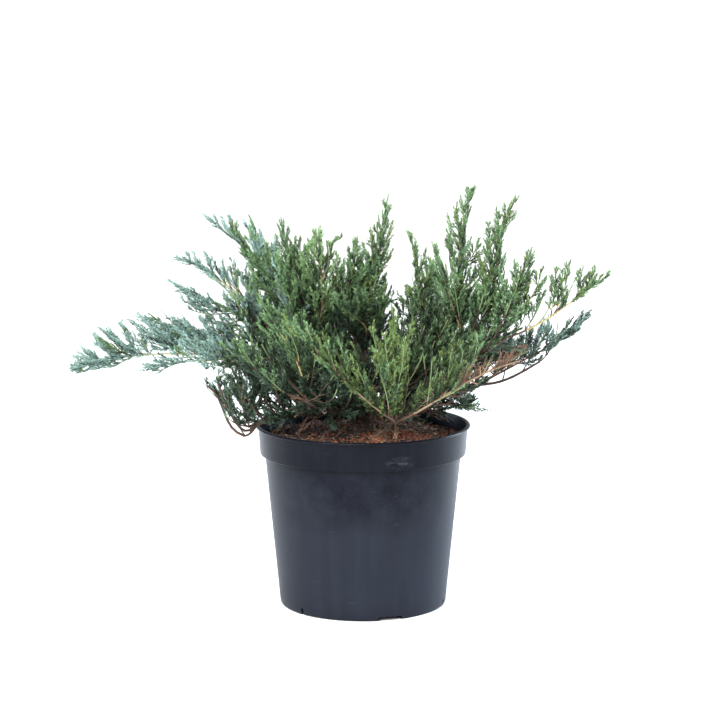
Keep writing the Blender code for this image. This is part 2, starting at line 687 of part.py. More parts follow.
class Spray:
    """A flat blade with pointed teeth, thickest along its spine and bent gently upwards."""

    def __init__(self, root, direction, across, length, width_share=1.0):
        self.root = root
        self.direction = direction
        self.across = square_to(direction, across)
        self.face = self.across.cross(direction)
        self.length = length
        self.width_share = width_share
        self.teeth = LONG_SPRAY_TEETH if length > LONG_SPRAY else TEETH
        self.bend = square_to(direction, UP + direction.orthogonal() * 0.001) * SPRAY_BEND * length

    def at(self, share, side=0.0, lift=0.0):
        """A point by its share of the length, its distance to the side and off the face."""
        spine = self.root + self.direction * (self.length * share)
        return spine + self.bend * share**2 + self.across * side + self.face * lift

    def edge(self, side):
        """The outline on one side: the root, then a tooth and a notch in turn."""
        points = [self.at(0, side * SPRAY_ROOT)]
        for tooth in range(self.teeth):
            reach = self.tooth_share(tooth)
            width = self.taper(tooth) * self.length * self.width_share * side
            points.append(self.at(reach + TOOTH_LEAD, TOOTH_REACH * width))
            points.append(self.at(reach + NOTCH_LEAD, NOTCH_WIDTH * width))
        return points

    def tooth_share(self, tooth):
        """Share of the blade's length at which a tooth stands."""
        return (tooth + FIRST_TOOTH) / (self.teeth + AFTER_LAST_TOOTH)

    def taper(self, tooth):
        """How much of its full width and thickness the blade has left at a tooth."""
        return 1 - TOOTH_TAPER * tooth / self.teeth

    def solid(self):
        """Points and faces: two edges, and a spine above and below them."""
        half = SPRAY_THICKNESS / 2
        points = [*self.edge(1), *self.edge(-1), self.at(1.0)]
        per_edge = 1 + 2 * self.teeth
        tip = 2 * per_edge
        spines = []
        for lift in (1, -1):
            spine = [len(points)]
            points.append(self.at(0, 0, lift * SPRAY_ROOT))
            for tooth in range(self.teeth):
                spine.append(len(points))
                share = self.tooth_share(tooth) + SPINE_LEAD
                points.append(self.at(share, 0, lift * half * self.taper(tooth)))
            spines.append(spine)
        faces = []
        for side, first in ((1, 0), (-1, per_edge)):
            for lift, spine in ((1, spines[0]), (-1, spines[1])):
                strip = self.half_face(first, spine, tip)
                faces += strip if side == lift else [tuple(reversed(face)) for face in strip]
        faces.append((0, spines[0][0], per_edge, spines[1][0]))
        return points, faces

    def half_face(self, first, spine, tip):
        """Triangles between one edge and one spine, from the root to the tip."""
        strip = []
        for tooth in range(self.teeth):
            low = first + 2 * tooth
            strip.append((spine[tooth], low, spine[tooth + 1]))
            strip.append((low, low + 1, spine[tooth + 1]))
            strip.append((low + 1, low + 2, spine[tooth + 1]))
        strip.append((first + 2 * self.teeth, tip, spine[-1]))
        return strip

    def samples(self):
        """Points that stand for the whole blade when its place is tested."""
        found = []
        for side in (1, -1):
            edge = [*self.edge(side), self.at(1.0)]
            found += edge
            found += [(before + after) / 2 for before, after in zip(edge, edge[1:])]
        return found + [self.at(share / 6) for share in range(1, 7)]


def fits(spray, owner, space):
    """Whether the whole spray lies in its mass's space and clear of the pot."""
    points = spray.samples()
    return all(clear_of_pot(point) for point in points) and space.holds(points, owner)


def fitted_spray(name, root, along, share, turn, roll, length, space):
    """The longest spray that fits near the wanted turn and roll, or None."""
    tries = itertools.product(SPRAY_TRIES, ANGLE_SHARES, TURN_SHIFTS, ROLL_SHIFTS)
    for scale, angle_share, turn_shift, roll_shift in tries:
        direction = spray_direction(along, share, turn + math.radians(turn_shift), angle_share)
        rolled = Matrix.Rotation(math.radians(roll + roll_shift), 3, direction)
        across = rolled @ square_to(direction, along)
        spray = Spray(root, direction, across, length * scale)
        if fits(spray, name, space):
            return spray
    return None


def side_sprays(name, stem, row, space):
    """The sprays along a stem, alternately to its two sides, made shorter or skipped where they don't fit."""
    width, bare = row[5:7]
    chance = random.Random(name)
    leafy = LAST_SPRAY_SHARE - bare
    count = max(3, round(stem.length() * leafy / SPRAY_SPACING))
    found = []
    for place in range(count):
        share = (place + 0.5 + chance.uniform(-SPRAY_PLACE_CHANCE, SPRAY_PLACE_CHANCE)) / count
        root = stem.point(bare + leafy * share)
        along = stem.tangent(bare + leafy * share)
        turn = spray_turn(along, place, chance)
        roll = chance.uniform(-SPRAY_ROLL_CHANCE, SPRAY_ROLL_CHANCE)
        length = spray_length(width, share) * (1 + chance.uniform(-SPRAY_LENGTH_CHANCE, SPRAY_LENGTH_CHANCE))
        spray = fitted_spray(name, root, along, share, turn, roll, length, space)
        if spray:
            found.append(spray)
    return found


def last_spray(name, stem, space):
    """The spray that carries the stem on to the very tip of its mass."""
    root = stem.point(LAST_SPRAY_SHARE)
    tip = stem.point(1.0)
    direction = (tip - root).normalized()
    across = square_to(direction, stem.tangent(1.0).cross(UP) + UP * LAST_SPRAY_LIFT)
    for width_share in LAST_SPRAY_WIDTHS:
        spray = Spray(root, direction, across, (tip - root).length, width_share)
        spray.bend = Vector((0, 0, 0))
        if fits(spray, name, space):
            break
    return spray


# Fusing


def keep_main_shell(thing):
    """Drop loose scraps and the walls of sealed hollows: only the largest shell stays."""
    mesh = thing.data
    linked = list(range(len(mesh.vertices)))

    def root_of(index):
        while linked[index] != index:
            linked[index] = linked[linked[index]]
            index = linked[index]
        return index

    for edge in mesh.edges:
        linked[root_of(edge.vertices[0])] = root_of(edge.vertices[1])
    volumes = {}
    mesh.calc_loop_triangles()
    for triangle in mesh.loop_triangles:
        a, b, c = (mesh.vertices[index].co for index in triangle.vertices)
        shell = root_of(triangle.vertices[0])
        volumes[shell] = volumes.get(shell, 0.0) + a.dot(b.cross(c)) / 6
    main = max(volumes, key=volumes.get)
    if len(volumes) == 1:
        return
    points = [vertex.co.copy() for vertex in mesh.vertices]
    faces = [tuple(face.vertices) for face in mesh.polygons if root_of(face.vertices[0]) == main]
    used = sorted({index for face in faces for index in face})
    renumbered = {index: place for place, index in enumerate(used)}
    faces = [tuple(renumbered[index] for index in face) for face in faces]
    mesh.clear_geometry()
    mesh.from_pydata([points[index] for index in used], [], faces)


def fuse(thing, others):
    """Join other solids to this one by a Boolean union on a collection, and remove them."""
    group = bpy.data.collections.new(thing.name + "_sprays")
    for other in others:
        bpy.context.scene.collection.objects.unlink(other)
        group.objects.link(other)
    join = thing.modifiers.new("fuse sprays", "BOOLEAN")
    join.operation = "UNION"
    join.operand_type = "COLLECTION"
    join.collection = group
    bpy.context.view_layer.update()
    graph = bpy.context.evaluated_depsgraph_get()
    fused = bpy.data.meshes.new_from_object(thing.evaluated_get(graph))
    thing.modifiers.clear()
    thing.data = fused
    for other in others:
        bpy.data.objects.remove(other, do_unlink=True)
    bpy.data.collections.remove(group)
    keep_main_shell(thing)


def build_mass(name, stem, space):
    """One foliage mass: its stem with every spray that fits, fused to one solid."""
    row = MASSES[name]
    leaf = make_material("juniper_leaf_" + row[-1], LEAF_TINTS[row[-1]], 0.7)
    shares = [STEM_END_SHARE * step / STEM_STEPS for step in range(STEM_STEPS + 1)]
    mass = build_limb(name, stem, STEM_SIDES, shares, False, leaf)
    sprays = [*side_sprays(name, stem, row, space), last_spray(name, stem, space)]
    blades = [make_solid("spray", *spray.solid(), leaf) for spray in sprays]
    fuse(mass, blades)
    return mass


def build_plant():
    """Trunk, boughs and foliage masses."""
    _, trunk_cutter = build_trunk()
    boughs = {name: bough_limb(row) for name, row in BOUGHS.items()}
    stems = all_stems(boughs)
    space = Space(boughs, stems)
    for name, limb in boughs.items():
        build_bough(name, limb, trunk_cutter)
    for name, stem in stems.items():
        build_mass(name, stem, space)


def main():
    clear_scene()
    build_pot()
    build_soil()
    build_plant()


main()
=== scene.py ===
"""The looks of a potted tamariscifolia savin juniper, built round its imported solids.

The file is laid out as a Blender add-on and is run as a script. Every mass of foliage is grown again on its
own stem by the rule of the solids, carried on from sprays to twigs, sprigs and scale leaves.

Units are metres, +Z is up, and the origin is the middle of the pot's underside. Azimuths are in degrees
from +X towards +Y, so 270 is the front. Pitches are in degrees above level.
"""

import math
import random

import bpy
import numpy as np
from bpy.props import FloatProperty, FloatVectorProperty, IntProperty, PointerProperty
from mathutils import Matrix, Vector, noise


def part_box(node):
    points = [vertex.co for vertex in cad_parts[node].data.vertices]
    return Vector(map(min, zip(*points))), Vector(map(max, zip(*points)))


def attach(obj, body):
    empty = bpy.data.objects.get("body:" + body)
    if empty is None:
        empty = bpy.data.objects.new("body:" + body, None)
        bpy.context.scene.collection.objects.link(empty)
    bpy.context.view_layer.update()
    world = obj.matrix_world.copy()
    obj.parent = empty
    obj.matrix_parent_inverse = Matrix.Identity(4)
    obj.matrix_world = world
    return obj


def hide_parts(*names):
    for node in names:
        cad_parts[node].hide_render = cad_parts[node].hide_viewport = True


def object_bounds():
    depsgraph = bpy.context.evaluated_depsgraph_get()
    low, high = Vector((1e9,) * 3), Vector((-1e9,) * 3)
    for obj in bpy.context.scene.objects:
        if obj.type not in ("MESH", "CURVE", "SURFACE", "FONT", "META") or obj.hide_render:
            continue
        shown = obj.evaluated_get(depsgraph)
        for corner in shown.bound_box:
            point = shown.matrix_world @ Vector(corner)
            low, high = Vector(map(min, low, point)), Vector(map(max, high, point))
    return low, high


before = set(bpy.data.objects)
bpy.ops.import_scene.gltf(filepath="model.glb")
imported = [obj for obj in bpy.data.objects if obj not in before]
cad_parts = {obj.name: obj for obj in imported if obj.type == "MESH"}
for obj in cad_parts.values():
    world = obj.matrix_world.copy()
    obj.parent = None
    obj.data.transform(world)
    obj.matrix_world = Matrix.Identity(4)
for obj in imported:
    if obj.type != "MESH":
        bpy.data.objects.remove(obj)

bl_info = {
    "name": "Potted savin juniper",
    "version": (1, 0, 0),
    "blender": (4, 5, 0),
    "location": "3D View > Sidebar > Juniper",
    "description": "Dresses a potted spreading juniper with bark, twigs, scale leaves, soil and a pot",
    "category": "Add Mesh",
}

CAD_BOX = [list(corner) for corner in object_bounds()]
BOX_LOW, BOX_HIGH = np.array(CAD_BOX)
BODY = "root"
UP = np.array((0.0, 0.0, 1.0))
# Place of the camera and the point that it looks at
CAMERA_PLACE = (-0.0039, -3.2, 0.84)
CAMERA_TARGET = (-0.0039, 0.0, 0.3216)
# A direction that no limb follows, from which the first side of its rings is taken
ASIDE = np.array((0.31, 0.22, 1.0))
SEAT_GAP = 0.0003
# Parts of a metre and of a whole, for tables in whole numbers
MILLIMETRES = 1000
PER_CENT = 100
# The export takes pieces of fewer triangles than this
MOST_TRIANGLES = 190_000

# Pot and soil, as in the solids
RIM_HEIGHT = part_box("pot")[1].z
LIP_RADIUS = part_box("pot")[1].x
COLLAR_RADIUS = 0.137
COLLAR_FOOT_RADIUS = 0.1345
COLLAR_HEIGHT = 0.038
COLLAR_ROUND = 0.0012
LIP_HEIGHT = 0.0036
BODY_TOP_RADIUS = 0.1283
BODY_FOOT_RADIUS = 0.1090
FOOT_RADIUS = 0.1070
FOOT_INNER_RADIUS = 0.0985
BOSS_RADIUS = 0.040
UNDERSIDE_RISE = 0.006
UNDERSIDE_RUN = 0.004
POT_WALL = 0.002
NOTCH_PAIRS = 3
# Azimuth, width and height of each drainage notch of a pair
NOTCHES = ((289, 0.032, 0.005), (224, 0.0045, 0.009))
# Middle and half size of the pale smear on the collar
SCUFF_PLACE = (0.048, -0.130, 0.2100)
SCUFF_SIZE = (0.024, 0.020, 0.0100)
SOIL_EDGE_DEPTH = 0.0185
SOIL_CROWN_HEIGHT = 0.2300
SOIL_SEAT_RADIUS = 0.026
# The soil's own edge, just inside the pot's wall, and how many rings and sides it has
SOIL_RADIUS = COLLAR_FOOT_RADIUS - POT_WALL + 0.0012
SOIL_RINGS = 54
SOIL_SIDES = 160
# The front edge of the soil as the camera sees it: how it curves back to both sides, and its distance
FRONT_CURVE = 4.2
FRONT_DISTANCE = 0.12
# Litter is dark with painted shadow at the left of the first distance and behind the second, with how far
# each change takes
DARK_LEFT_OF = 0.04
DARK_LEFT_FADE = 0.08
DARK_BEHIND = 0.045
DARK_BEHIND_FADE = 0.05
DARK_MOST = 0.85
# Azimuths between which most of the red grit lies, and its share elsewhere
GRIT_SPAN = (268, 350)
GRIT_ELSEWHERE = 0.12
# Least and most length, width and thickness of a bark chip, and of a bit of grit
CHIP_SIZES = ((0.004, 0.013), (0.002, 0.006), (0.0008, 0.0026))
GRIT_SIZES = (0.0012, 0.0036)
# Shares of the chips that are dark, plain, red and pale
CHIP_TINTS = (0.42, 0.38, 0.08, 0.12)
STRAW_RADII = (0.0004, 0.00045)

# Trunk, as in the solids
TRUNK_HEIGHT = 0.062
TRUNK_LEAN = 0.10
TRUNK_LEAN_AT_FOOT = 0.4
TRUNK_LEAN_AZIMUTH = 250
TRUNK_RINGS = (
    (0.0, 0.0185), (0.0056, 0.0155), (0.016, 0.0125), (0.031, 0.0140), (0.047, 0.0155), (0.058, 0.0112),
    (0.062, 0.0040),
)
ROOT_LOBES = 5
ROOT_LOBE_SHARE = 0.16
ROOT_FLARE_HEIGHT = 0.016
TRUNK_SIDES = 44
# The trunk's relief beside a bough's, and the share by which it lies deeper than the solid
TRUNK_RELIEF = 0.55
TRUNK_INSET = 0.03
# Height, place and length of the knot at a bough's fork, as shares of its radius and length
KNOT = (0.22, 0.985, 0.02)

# Limbs, as in the solids
BOUGH_ROOT_REACH = 0.0056
BOUGH_ROOT_RADIUS = 0.0037
FORK_RADIUS = 0.0028
BOUGH_PULL = 0.36
TIER_HEIGHTS = (0.0165, 0.0325, 0.0485)
STEM_ROOT_RADIUS = 0.0015
STEM_END_RADIUS = 0.0007
STEM_PULL = 0.38
STEM_SIDES = 5
# The span of a stem that its mesh covers, the distance between its rings and how knotty it is
STEM_SPAN = (-0.02, 0.985)
STEM_STEP = 0.009
STEM_KNOTS = 0.18
# How far the tip of a side stem stays inside the box, to both sides
STEM_MARGINS = np.array(((-0.006, -0.006, -0.006), (0.006, 0.006, 0.006)))
FORK_AHEAD_SHARE = 0.6
FORK_SPREAD_TWO = 34
FORK_SPREAD_THREE = 40

# Azimuth, reach and height of the fork; azimuth and tier of the foot; rise and pitch of the ends; leaf tint
# of its side stems
BOUGHS = {
    "bough_left_low": (192, 0.139, 0.331, 190, 1, 30, 14, "blue"),
    "bough_left_mid": (175, 0.119, 0.340, 172, 2, 30, 35, "blue"),
    "bough_left_high": (154, 0.115, 0.375, 132, 2, 40, 42, "blue"),
    "bough_top_left": (197, 0.066, 0.351, 214, 2, 45, 62, "green"),
    "bough_middle": (90, 0.026, 0.346, 82, 2, 62, 80, "dark"),
    "bough_right_tall": (17, 0.096, 0.337, 26, 2, 30, 58, "green"),
    "bough_right": (352, 0.138, 0.343, 352, 2, 24, 50, "green"),
    "bough_right_far": (346, 0.185, 0.356, 336, 1, 25, 38, "green"),
    "bough_right_low": (16, 0.165, 0.284, 8, 0, 12, 22, "dark"),
    "bough_front": (290, 0.122, 0.261, 286, 0, 10, 20, "yellow"),
    "bough_front_left": (235, 0.126, 0.288, 243, 0, 18, 35, "dark"),
    "bough_left_hang": (198, 0.153, 0.241, 201, 0, 14, -20, "dark"),
    "bough_front_low": (320, 0.115, 0.275, 327, 0, 14, 30, "dark"),
    "bough_back_left": (128, 0.140, 0.332, 120, 1, 28, 35, "green"),
    "bough_back": (95, 0.135, 0.325, 90, 1, 30, 38, "green"),
    "bough_back_right": (55, 0.130, 0.322, 56, 1, 28, 38, "green"),
    "bough_back_left_low": (152, 0.145, 0.281, 152, 0, 12, 20, "dark"),
    "bough_back_right_low": (38, 0.145, 0.281, 47, 0, 12, 20, "dark"),
}

# Bough; azimuth, reach and height of the tip; pitch there; longest spray; bare share; leaf and wood tint
MASSES = {
    "foliage_left_low_tip": ("bough_left_low", 183, 0.382, 0.309, -22, 0.072, 0.10, "blue", "yellow"),
    "foliage_left_low_under": ("bough_left_low", 194, 0.286, 0.322, -10, 0.042, 0.15, "blue", "yellow"),
    "foliage_left_mid_tip": ("bough_left_mid", 174, 0.250, 0.420, 34, 0.042, 0.12, "blue", "tan"),
    "foliage_left_mid_low": ("bough_left_mid", 180, 0.287, 0.376, 12, 0.055, 0.12, "blue", "tan"),
    "foliage_left_high_tip": ("bough_left_high", 164, 0.253, 0.446, 16, 0.052, 0.12, "blue", "yellow"),
    "foliage_left_top": ("bough_left_high", 167, 0.208, 0.501, 36, 0.062, 0.10, "blue", "tan"),
    "foliage_top_left_outer": ("bough_top_left", 191, 0.151, 0.500, 62, 0.055, 0.08, "blue", "tan"),
    "foliage_top_left_inner": ("bough_top_left", 164, 0.110, 0.497, 72, 0.055, 0.08, "green", "tan"),
    "foliage_top_middle": ("bough_top_left", 182, 0.056, 0.489, 80, 0.060, 0.08, "pale", "tan"),
    "foliage_middle_tip": ("bough_middle", 44, 0.043, 0.523, 80, 0.055, 0.08, "green", "tan"),
    "foliage_middle_left": ("bough_middle", 250, 0.030, 0.478, 80, 0.055, 0.08, "green", "brown"),
    "foliage_inner_front": ("bough_middle", 252, 0.102, 0.413, 35, 0.055, 0.10, "green", "yellow"),
    "foliage_right_tall": ("bough_right_tall", 8, 0.146, 0.549, 66, 0.060, 0.08, "green", "tan"),
    "foliage_right_lean": ("bough_right_tall", 39, 0.079, 0.477, 62, 0.044, 0.12, "green", "brown"),
    "foliage_right_second": ("bough_right", 351, 0.196, 0.531, 57, 0.055, 0.10, "green", "red"),
    "foliage_right_spike": ("bough_right", 348, 0.095, 0.471, 74, 0.040, 0.12, "green", "tan"),
    "foliage_right_far": ("bough_right_far", 355, 0.321, 0.438, 30, 0.048, 0.42, "green", "yellow"),
    "foliage_right_short": ("bough_right_far", 344, 0.221, 0.466, 66, 0.050, 0.10, "green", "brown"),
    "foliage_right_low": ("bough_right_low", 11, 0.303, 0.373, 46, 0.052, 0.25, "dark", "brown"),
    "foliage_right_dead": ("bough_right_low", 357, 0.215, 0.335, 20, 0.042, 0.15, "dead", "red"),
    "foliage_front_left": ("bough_front", 245, 0.220, 0.401, 46, 0.060, 0.06, "yellow", "tan"),
    "foliage_front_mid": ("bough_front", 280, 0.206, 0.413, 80, 0.050, 0.06, "yellow", "yellow"),
    "foliage_front_right": ("bough_front", 317, 0.265, 0.350, 16, 0.052, 0.08, "yellow", "tan"),
    "foliage_front_left_low": ("bough_front_left", 220, 0.230, 0.364, 30, 0.055, 0.10, "dark", "brown"),
    "foliage_front_left_up": ("bough_front_left", 230, 0.195, 0.420, 60, 0.058, 0.10, "green", "yellow"),
    "foliage_hang_outer": ("bough_left_hang", 186, 0.196, 0.289, 58, 0.034, 0.30, "dark", "brown"),
    "foliage_hang_inner": ("bough_left_hang", 203, 0.172, 0.318, 82, 0.050, 0.25, "dark", "brown"),
    "foliage_front_low_up": ("bough_front_low", 316, 0.164, 0.358, 60, 0.055, 0.10, "yellow", "tan"),
    "foliage_front_low_out": ("bough_front_low", 346, 0.164, 0.266, 5, 0.034, 0.15, "dark", "brown"),
    "foliage_back_left_out": ("bough_back_left", 132, 0.310, 0.398, 22, 0.060, 0.10, "green", "yellow"),
    "foliage_back_left_up": ("bough_back_left", 118, 0.215, 0.440, 58, 0.060, 0.10, "green", "tan"),
    "foliage_back_out": ("bough_back", 97, 0.315, 0.350, 12, 0.060, 0.10, "green", "yellow"),
    "foliage_back_up": ("bough_back", 100, 0.185, 0.418, 60, 0.058, 0.10, "green", "tan"),
    "foliage_back_low": ("bough_back", 76, 0.235, 0.292, -8, 0.050, 0.12, "dark", "brown"),
    "foliage_back_right_out": ("bough_back_right", 52, 0.295, 0.375, 20, 0.060, 0.10, "green", "yellow"),
    "foliage_back_right_up": ("bough_back_right", 60, 0.190, 0.425, 60, 0.055, 0.10, "green", "tan"),
    "foliage_back_left_low": ("bough_back_left_low", 152, 0.275, 0.330, 16, 0.060, 0.10, "dark", "brown"),
    "foliage_back_right_low": ("bough_back_right_low", 34, 0.270, 0.312, 12, 0.060, 0.10, "dark", "brown"),
}

# How many side stems a bough has, where it isn't the usual number
MORE_INNER_STEMS = {
    "bough_left_low": 16, "bough_left_mid": 17, "bough_left_high": 14, "bough_top_left": 12,
    "bough_middle": 16, "bough_front_left": 16, "bough_left_hang": 15, "bough_right_tall": 13,
    "bough_right": 15, "bough_right_far": 14, "bough_right_low": 11,
}

# The tint that a few sprays of each tint take instead
OTHER_TINTS = {
    "blue": "green", "green": "yellow", "pale": "green", "yellow": "pale", "dark": "green", "dead": "dark",
}

# Distance from the axis out to which blue-green masses turn green, and how far the change takes
GREEN_OUT_TO = 0.20
GREEN_FADE = 0.10
# Share of green sprays far out, and how much more of them stand near the axis
GREEN_LEAST = 0.04
GREEN_MORE = 0.9

# Spaces beside the outline of the crown that stay open in front view, on the upright plane through the axis:
# x and z of both ends of a rounded strip, and its half width, in millimetres
OPEN_SPACES = (
    (-276, 398, -240, 399, 6), (-242, 432, -198, 416, 5), (-285, 390, -219, 383, 5),
    (-322, 387, -306, 387, 9), (-195, 425, -159, 417, 7), (-34, 473, -26, 463, 5), (45, 520, 49, 476, 6),
    (103, 466, 113, 432, 5), (152, 543, 139, 497, 6), (271, 424, 273, 407, 5), (213, 377, 241, 390, 7),
    (246, 383, 284, 396, 7), (-182, 489, -164, 472, 5), (36, 427, 48, 472, 6), (54, 466, 61, 427, 5),
    (-212, 289, -188, 249, 10), (195, 502, 191, 468, 6), (163, 278, 194, 287, 11), (161, 262, 181, 266, 7),
    (250, 375, 288, 398, 7),
)

# The same for the gaps between the fans at the front, and how far back they reach
FRONT_SPACES = (
    (-3, 340, 20, 285, 6), (74, 351, 63, 285, 8), (81, 332, 85, 300, 7),
)
FRONT_SPACES_TO = -0.06

# Reach and height within which the middle of the plant gets painted shade, and how far the change takes
HOLLOW_REACH = 0.145
HOLLOW_TOP = 0.400
HOLLOW_FADE = 0.070

# Distance from the axis from which masses of two tints take the second, and how far the change takes
MIXED_FROM = 0.13
MIXED_FADE = 0.08

# Painted shade at the foot of a mass, as a step on the shade ladder, where it isn't the usual one
FOOT_SHADES = {
    "foliage_front_left": 0.25, "foliage_front_mid": 1.1, "foliage_front_right": -0.1,
    "foliage_front_low_up": -0.3, "foliage_inner_front": -0.1, "foliage_left_low_tip": 1.3,
}

# How densely the sprays of a mass stand beside the usual
DENSITY = {
    "foliage_left_low_under": 1.2, "foliage_left_low_tip": 1.6, "foliage_left_mid_low": 1.3,
    "foliage_left_mid_tip": 1.2, "foliage_top_middle": 1.2, "foliage_right_tall": 1.4,
    "foliage_right_lean": 1.2, "foliage_right_second": 1.45, "foliage_right_far": 1.45,
    "foliage_right_low": 1.5, "foliage_right_dead": 1.5,
}

# Masses half of whose sprays take another tint
MIXED_TINTS = {
    "foliage_right_low": "blue", "foliage_hang_outer": "blue", "foliage_hang_inner": "blue",
    "foliage_front_left_low": "green", "foliage_front_left": "green", "foliage_front_low_up": "green",
    "foliage_front_left_up": "dark", "foliage_front_right": "green", "foliage_inner_front": "pale",
}

# How many side stems a mass has, where it isn't the usual number
SIDE_STEMS = {
    "foliage_top_middle": 5, "foliage_top_left_inner": 5, "foliage_top_left_outer": 5,
    "foliage_left_low_tip": 0, "foliage_left_mid_low": 0, "foliage_left_mid_tip": 0,
    "foliage_left_high_tip": 0, "foliage_left_top": 3, "foliage_right_tall": 2, "foliage_right_lean": 1,
    "foliage_right_short": 4, "foliage_right_far": 0, "foliage_right_low": 0, "foliage_front_mid": 2,
    "foliage_front_left_up": 5, "foliage_front_right": 2, "foliage_right_dead": 5, "foliage_hang_inner": 6,
    "foliage_hang_outer": 0,
}

